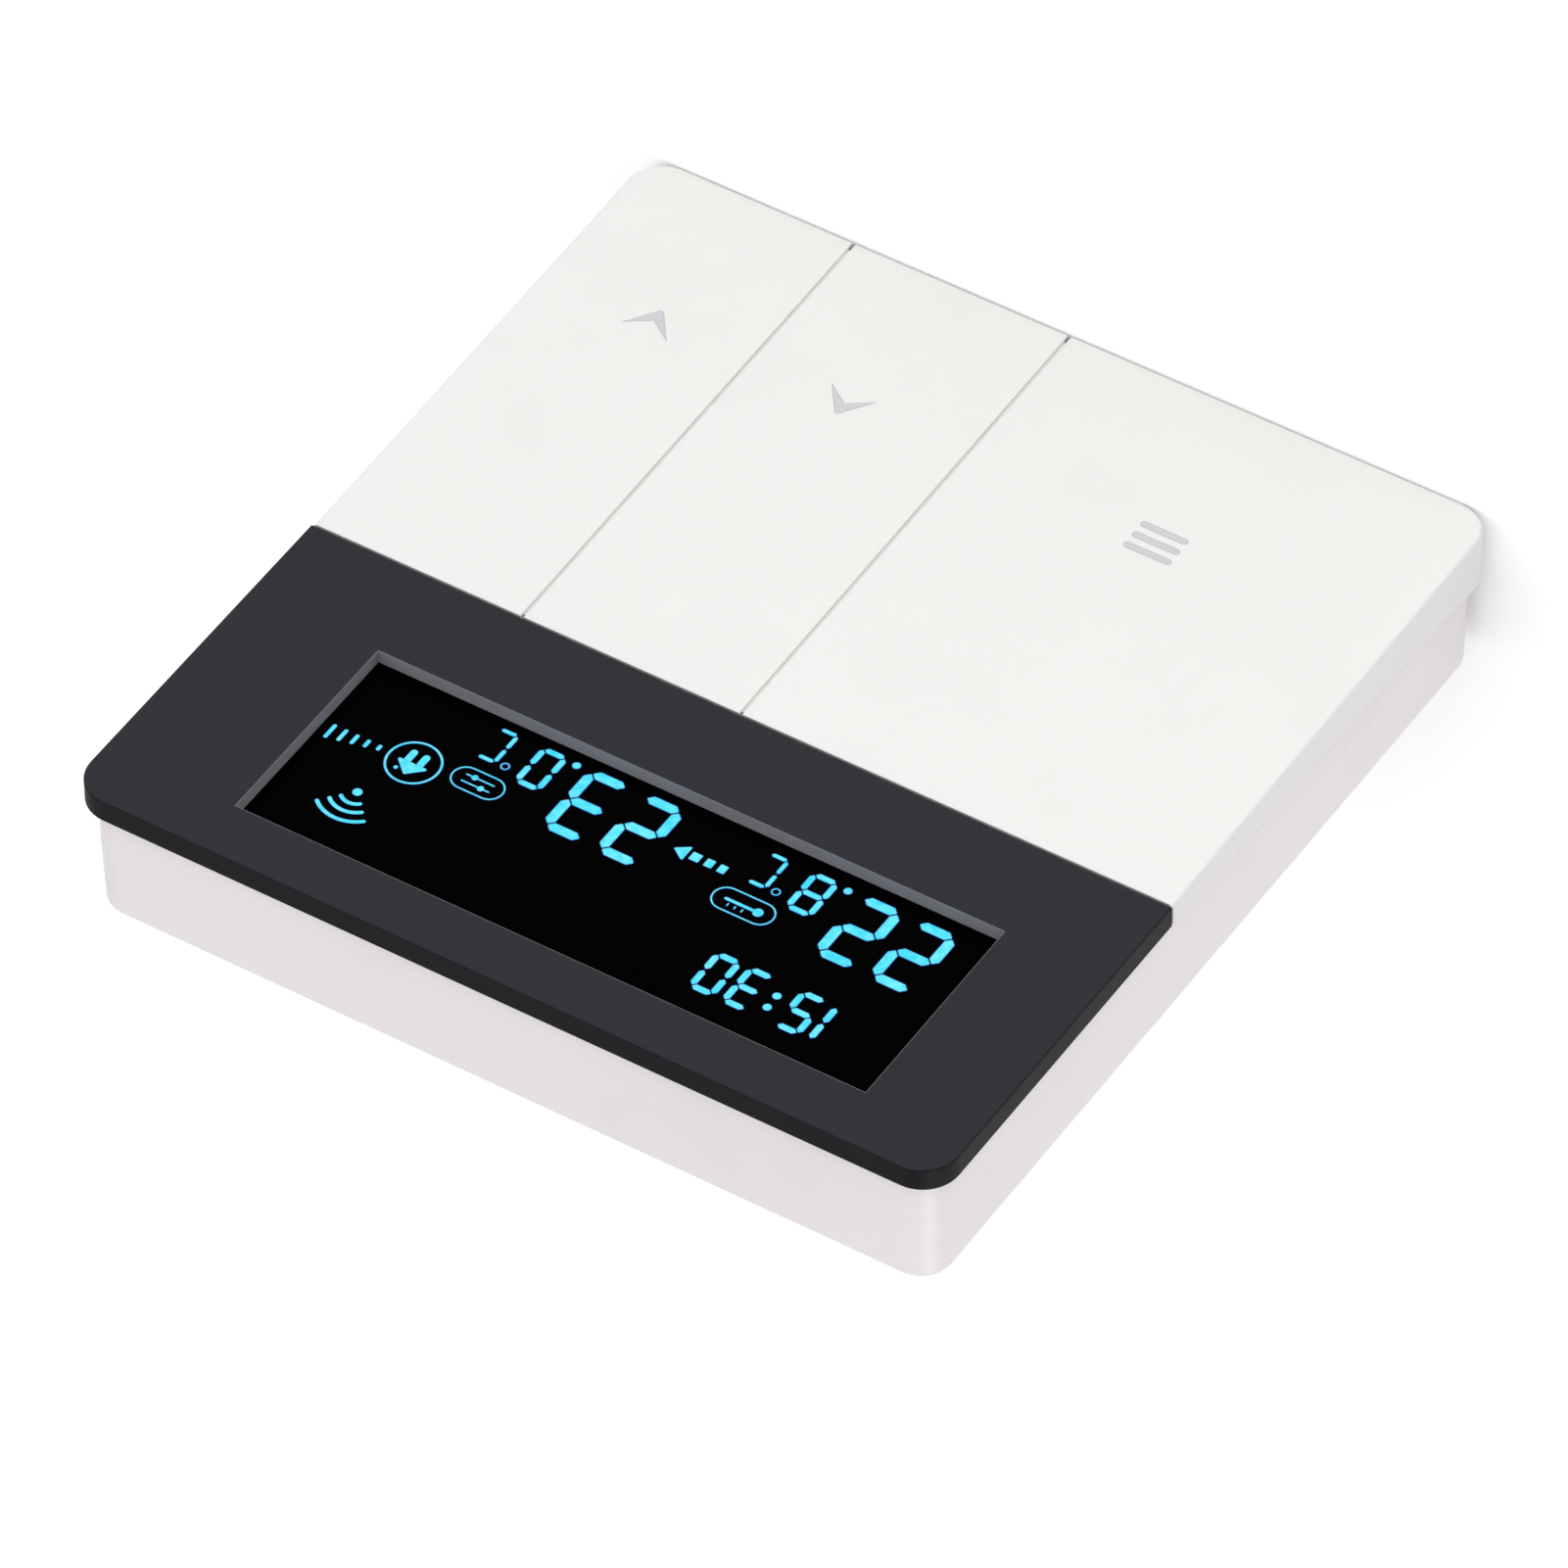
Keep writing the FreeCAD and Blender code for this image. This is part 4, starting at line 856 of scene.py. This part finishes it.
# %% The clock
CLOCK_LOW = 13.58
CLOCK_FIGURES = (("1", 5.32), ("5", 8.55), ("3", 13.72), ("0", 16.95))
COLON_RIGHT = 12.6
COLON_HEIGHTS = (15.4, 16.9)
DOT_RADIUS = 0.42


def draw_clock():
    drawing = Drawing(0.1, seed=15)
    for symbol, left in CLOCK_FIGURES:
        figure(drawing, symbol, spot(left, CLOCK_LOW), CLOCK_CELL)
    for up in COLON_HEIGHTS:
        drawing.plate([spot(COLON_RIGHT, up)], DOT_RADIUS)
    return lay_on_glass(drawing, "display_clock")


draw_clock()


# %% The two temperatures
# How far right of a temperature's left edge its later parts stand.
LARGE_PITCH = 5.4
POINT_RIGHT = 10.9
TENTH_RIGHT = 11.82
DEGREE_RIGHT = 15.95
UNIT_RIGHT = 16.75
# How far above the foot of the large figures the small parts stand.
POINT_UP = 0.45
SMALL_UP = -0.05
DEGREE_UP = 3.7


def draw_temperature(name, symbols, tenth, left, low, seed):
    """Two large figures, a point, a small tenth, a degree ring and the C of the unit."""
    drawing = Drawing(0.12, seed)
    for number, symbol in enumerate(symbols):
        figure(drawing, symbol, spot(left + number * LARGE_PITCH, low), LARGE_CELL)
    drawing.plate([spot(left + POINT_RIGHT, low + POINT_UP)], DOT_RADIUS)
    figure(drawing, tenth, spot(left + TENTH_RIGHT, low + SMALL_UP), TENTH_CELL)
    degree = spot(left + DEGREE_RIGHT, low + DEGREE_UP)
    ring = fan(degree, Vector((1, 0)), math.tau, 0.36, 20)[:-1]
    drawing.line(ring, 0.2, closed=True)
    figure(drawing, "C", spot(left + UNIT_RIGHT, low + SMALL_UP), UNIT_CELL)
    return lay_on_glass(drawing, name)


draw_temperature("display_room_temperature", "22", "8", 3.17, 1.64, seed=22)
draw_temperature("display_set_temperature", "23", "0", 30.38, 1.28, seed=23)


# %% [markdown]
# ## Icons
# A ringed house shows the home mode, and a fan of arcs shows the radio link. Two small
# capsules label the temperatures: a bulb thermometer for the room's, and a slider for the set
# one. An arrow leads from the first to the second. All of them are plain signs that any such
# display could carry.


# %% Radio link and home mode
RADIO_RADII = (1.42, 2.42, 3.5)
RADIO_SPREAD = 84
HOUSE_RING = 2.42


def draw_radio(drawing):
    """A dot with three arcs over it."""
    centre = spot(55.2, 14.05)
    drawing.plate([centre], 0.46)
    start = turned(Vector((0, 1)), math.radians(-RADIO_SPREAD / 2))
    for radius in RADIO_RADII:
        drawing.line(fan(centre, start, math.radians(RADIO_SPREAD), radius, 16), 0.42)


def draw_house(drawing):
    """A roof on two legs, with a chimney dot, inside a ring."""
    centre = spot(53.1, 8.7)
    ring = fan(centre, Vector((1, 0)), math.tau, HOUSE_RING, 48)[:-1]
    drawing.line(ring, 0.26, closed=True)
    roof = [centre + Vector(part) for part in ((-1.25, 0.2), (1.25, 0.2), (0, 1.35))]
    drawing.plate(roof, 0.18)
    for side in (-1, 1):
        foot = centre + Vector((side * 0.62, -1.05))
        head = centre + Vector((side * 0.62, 0.05))
        drawing.plate([foot, head], 0.36)
    drawing.plate([centre + Vector((1.0, 1.2))], 0.22)


# %% Labels of the two temperatures
CAPSULE_HIGH = 2.55
HAIRLINE = 0.2


def capsule_outline(centre, wide, high):
    """A loop with straight long sides and round ends."""
    radius = high / 2
    reach = wide / 2 - radius
    right = fan(centre + Vector((reach, 0)), Vector((0, -1)), math.pi, radius, 12)
    left = fan(centre - Vector((reach, 0)), Vector((0, 1)), math.pi, radius, 12)
    return right + left


def draw_thermometer_label(drawing):
    """A lying thermometer with three scale marks, in a capsule."""
    centre = spot(20.55, 8.15)
    drawing.line(capsule_outline(centre, 5.9, CAPSULE_HIGH), HAIRLINE, closed=True)
    drawing.plate([centre + Vector((-1.45, 0))], 0.5)
    drawing.line([centre + Vector((-1.1, 0)), centre + Vector((1.7, 0))], 0.36)
    for place in (-0.2, 0.5, 1.2):
        foot = centre + Vector((place, 0.42))
        drawing.line([foot, foot + Vector((0, 0.26))], 0.18)


def draw_slider_label(drawing):
    """Two sliders with their knobs apart, in a capsule."""
    centre = spot(47.2, 7.85)
    drawing.line(capsule_outline(centre, 4.95, CAPSULE_HIGH), HAIRLINE, closed=True)
    for side, knob in ((1, -0.55), (-1, 0.55)):
        height = side * 0.42
        ends = [centre + Vector((-1.35, height)), centre + Vector((1.35, height))]
        drawing.line(ends, HAIRLINE)
        drawing.plate([centre + Vector((knob, height))], 0.33)


# %% Arrow, strength bars and the icons together
ARROW_DASHES = ((23.95, 0.65), (25.2, 0.7), (26.5, 0.85))
STRENGTH_BARS = 5
STRENGTH_PITCH = 1.15
STRENGTH_LOW = 0.35
STRENGTH_RISE = 0.27


def draw_arrow(drawing):
    """Three dashes that grow towards a head."""
    for left, wide in ARROW_DASHES:
        low = spot(left + 0.1, 5.1)
        high = low + Vector((wide - 0.1, 0.75))
        drawing.plate([low, (high.x, low.y), high, (low.x, high.y)], 0.12)
    tip = spot(28.95, 5.5)
    drawing.plate([tip + Vector((-1.05, -0.72)), tip, tip + Vector((-1.05, 0.72))], 0.14)


def draw_strength_bars(drawing):
    """Five rising bars beside the house."""
    for number in range(STRENGTH_BARS):
        foot = spot(56.55 + number * STRENGTH_PITCH, 8.55)
        rise = STRENGTH_LOW + number * STRENGTH_RISE
        drawing.line([foot, foot + Vector((0, rise))], 0.42)


def draw_icons():
    drawing = Drawing(0.07, seed=7)
    draw_radio(drawing)
    draw_house(drawing)
    draw_thermometer_label(drawing)
    draw_slider_label(drawing)
    draw_arrow(drawing)
    draw_strength_bars(drawing)
    return lay_on_glass(drawing, "display_icons")


draw_icons()


# %% [markdown]
# ## Marks printed on the keys
# Each key carries one pale lilac-grey mark with a slightly darker rim, as pad printing leaves.
# A mark could be a mask in the key's own finish, but a thin plate of ink keeps its outline
# crisp however close the view is. The marks ride on their keys, so they tilt with them.


# %% Print finish and marks
def printed_ink():
    """Pad-printed ink: an even fill, and a rim where it pooled."""
    finish = Finish("printed_ink", {"Roughness": 0.5})
    rim = finish.node("Attribute", {"attribute_name": "rim"}, output="Fac")
    fill = finish.blend(tint("#c3c2c6"), tint("#bdbbc1"), cloud(finish, 0.5, detail=3))
    finish.apply({
        "Base Color": finish.blend(tint("#99989c"), fill, rim.step(0.1, 0.8)),
        "Normal": relief(finish, cloud(finish, 0.15), 0.006),
    })
    return finish


INK = printed_ink()
INK_LIFT = 0.012
INK_THICK = 0.01
MARK_ABOVE_EDGE = 17.3


def mark_centre(node, shift):
    """A place on a key: from its middle sideways, and above its lower edge."""
    low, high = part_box(node)
    return Vector(((low.x + high.x) / 2 / MM + shift, low.z / MM + MARK_ABOVE_EDGE))


def print_on_key(drawing, node):
    return drawing.lay(f"{node}_mark", node, INK_LIFT, INK_THICK, INK, "key_white")


# %% Arrowheads for up and down
DART_HALF_WIDE = 2.32
DART_RISE = 3.15
DART_NOTCH = 0.5
DART_TIP = 0.3


def dart(half_wide, rise, notch, round_tip):
    """An arrowhead that points up: two sharp ends, a rounded tip and a notch below it."""
    lean = math.atan2(half_wide, rise)
    centre = Vector((0, rise / 2 - round_tip / math.sin(lean)))
    start = Vector((math.cos(lean), math.sin(lean)))
    tip = fan(centre, start, math.pi - 2 * lean, round_tip, 6)
    low = -rise / 2
    ends = [Vector((-half_wide, low)), Vector((0, low + rise * notch)), Vector((half_wide, low))]
    return ends + tip


def draw_chevron(node, shift, downwards=False):
    centre = mark_centre(node, shift)
    drawing = Drawing(0.09, seed=1)
    points = dart(DART_HALF_WIDE, DART_RISE, DART_NOTCH, DART_TIP)
    if downwards:
        points = [Vector((point.x, -point.y)) for point in reversed(points)]
    drawing.patch([centre + point for point in points])
    return print_on_key(drawing, node)


draw_chevron("key_up", 1.3)
draw_chevron("key_down", -0.93, downwards=True)


# %% Bars for the menu
MENU_SHIFT = 2.0
MENU_UP = 0.45
MENU_PITCH = 1.4
MENU_REACH = Vector((2.0, 0))
MENU_STROKE = 0.72


def draw_menu_mark():
    """Three short bars, the usual sign for a menu."""
    centre = mark_centre("key_menu", MENU_SHIFT)
    drawing = Drawing(0.1, seed=2)
    for row in (-1, 0, 1):
        bar = centre + Vector((0, row * MENU_PITCH + MENU_UP))
        drawing.line([bar - MENU_REACH, bar + MENU_REACH], MENU_STROKE)
    return print_on_key(drawing, "key_menu")


draw_menu_mark()


# %% [markdown]
# ## Floor, light and camera
# The object stands on a plain pale floor. A bright even sky gives the soft light of a white
# studio. One large lamp in front lifts the faces that look out of the wall, and one overhead
# lifts the floor and the upper side. A small one behind and to the left leaves a highlight
# on the rounded corner. The camera looks down from the upper left, rolled, with a long lens
# so that parallel edges stay nearly so.

# %% Floor
FLOOR_REACH = 3.0


def lay_floor():
    low = cad_box[0]
    data = bpy.data.meshes.new("floor")
    shape = bmesh.new()
    bmesh.ops.create_grid(shape, x_segments=8, y_segments=8, size=FLOOR_REACH)
    shape.to_mesh(data)
    shape.free()
    floor = bpy.data.objects.new("floor", data)
    floor.location = (0, 0, low[2])
    bpy.context.scene.collection.objects.link(floor)
    finish = Finish("floor_paper", {"Roughness": 0.9, "Specular IOR Level": 0.1})
    mottled = finish.blend(tint("#fbfbfb"), tint("#f9f9f9"), cloud(finish, 60, detail=3))
    finish.apply({"Base Color": mottled})
    data.materials.append(finish.material)
    return floor


lay_floor()


# %% Light
SKY_STRENGTH = 0.82
# Each lamp's place in metres, the length of its side in metres, and its power in watts.
LAMPS = (
    ("front_softbox", (-0.5, -1.7, 0.5), 1.4, 9.5),
    ("top_softbox", (0.3, -0.4, 2.0), 1.6, 14.0),
    ("corner_softbox", (-1.2, 1.45, 0.8), 0.55, 7.5),
)


def add_lamp(name, place, size, power):
    """A square lamp that faces the object."""
    lamp = bpy.data.lights.new(name, "AREA")
    lamp.size = size
    lamp.energy = power
    stand = bpy.data.objects.new(name, lamp)
    stand.location = place
    stand.rotation_mode = "QUATERNION"
    stand.rotation_quaternion = (-Vector(place)).to_track_quat("-Z", "Y")
    bpy.context.scene.collection.objects.link(stand)
    return stand


def light_studio():
    world = bpy.data.worlds.new("studio")
    world.use_nodes = True
    sky = world.node_tree.nodes["Background"]
    sky.inputs["Color"].default_value = (1.0, 1.0, 1.0, 1.0)
    sky.inputs["Strength"].default_value = SKY_STRENGTH
    bpy.context.scene.world = world
    for lamp in LAMPS:
        add_lamp(*lamp)
    bpy.context.scene.view_settings.view_transform = "Standard"
    print(f"{len(LAMPS)} lamps and a sky of strength {SKY_STRENGTH}")


light_studio()

# %% Camera
# Angles in degrees: how far left of straight ahead, how far up, and how far rolled.
VIEW_BEARING = 28.264
VIEW_HEIGHT = 35.927
VIEW_ROLL = -138.42
VIEW_DISTANCE = 1.2427
LENS = 340.64
SENSOR_WIDTH = 36.0
VIEW_TARGET = Vector((-0.00794, -0.0145, 0.01311))


def place_camera():
    bearing = math.radians(VIEW_BEARING)
    height = math.radians(VIEW_HEIGHT)
    away = Vector((
        -math.sin(bearing) * math.cos(height),
        -math.cos(bearing) * math.cos(height),
        math.sin(height),
    ))
    data = bpy.data.cameras.new("camera")
    data.lens = LENS
    data.sensor_width = SENSOR_WIDTH
    camera = bpy.data.objects.new("camera", data)
    camera.location = VIEW_TARGET + away * VIEW_DISTANCE
    camera.rotation_mode = "QUATERNION"
    level = (-away).to_track_quat("-Z", "Y")
    camera.rotation_quaternion = level @ Quaternion((0, 0, 1), math.radians(VIEW_ROLL))
    bpy.context.scene.collection.objects.link(camera)
    bpy.context.scene.camera = camera
    print("camera stands at", [round(part, 4) for part in camera.location])


place_camera()
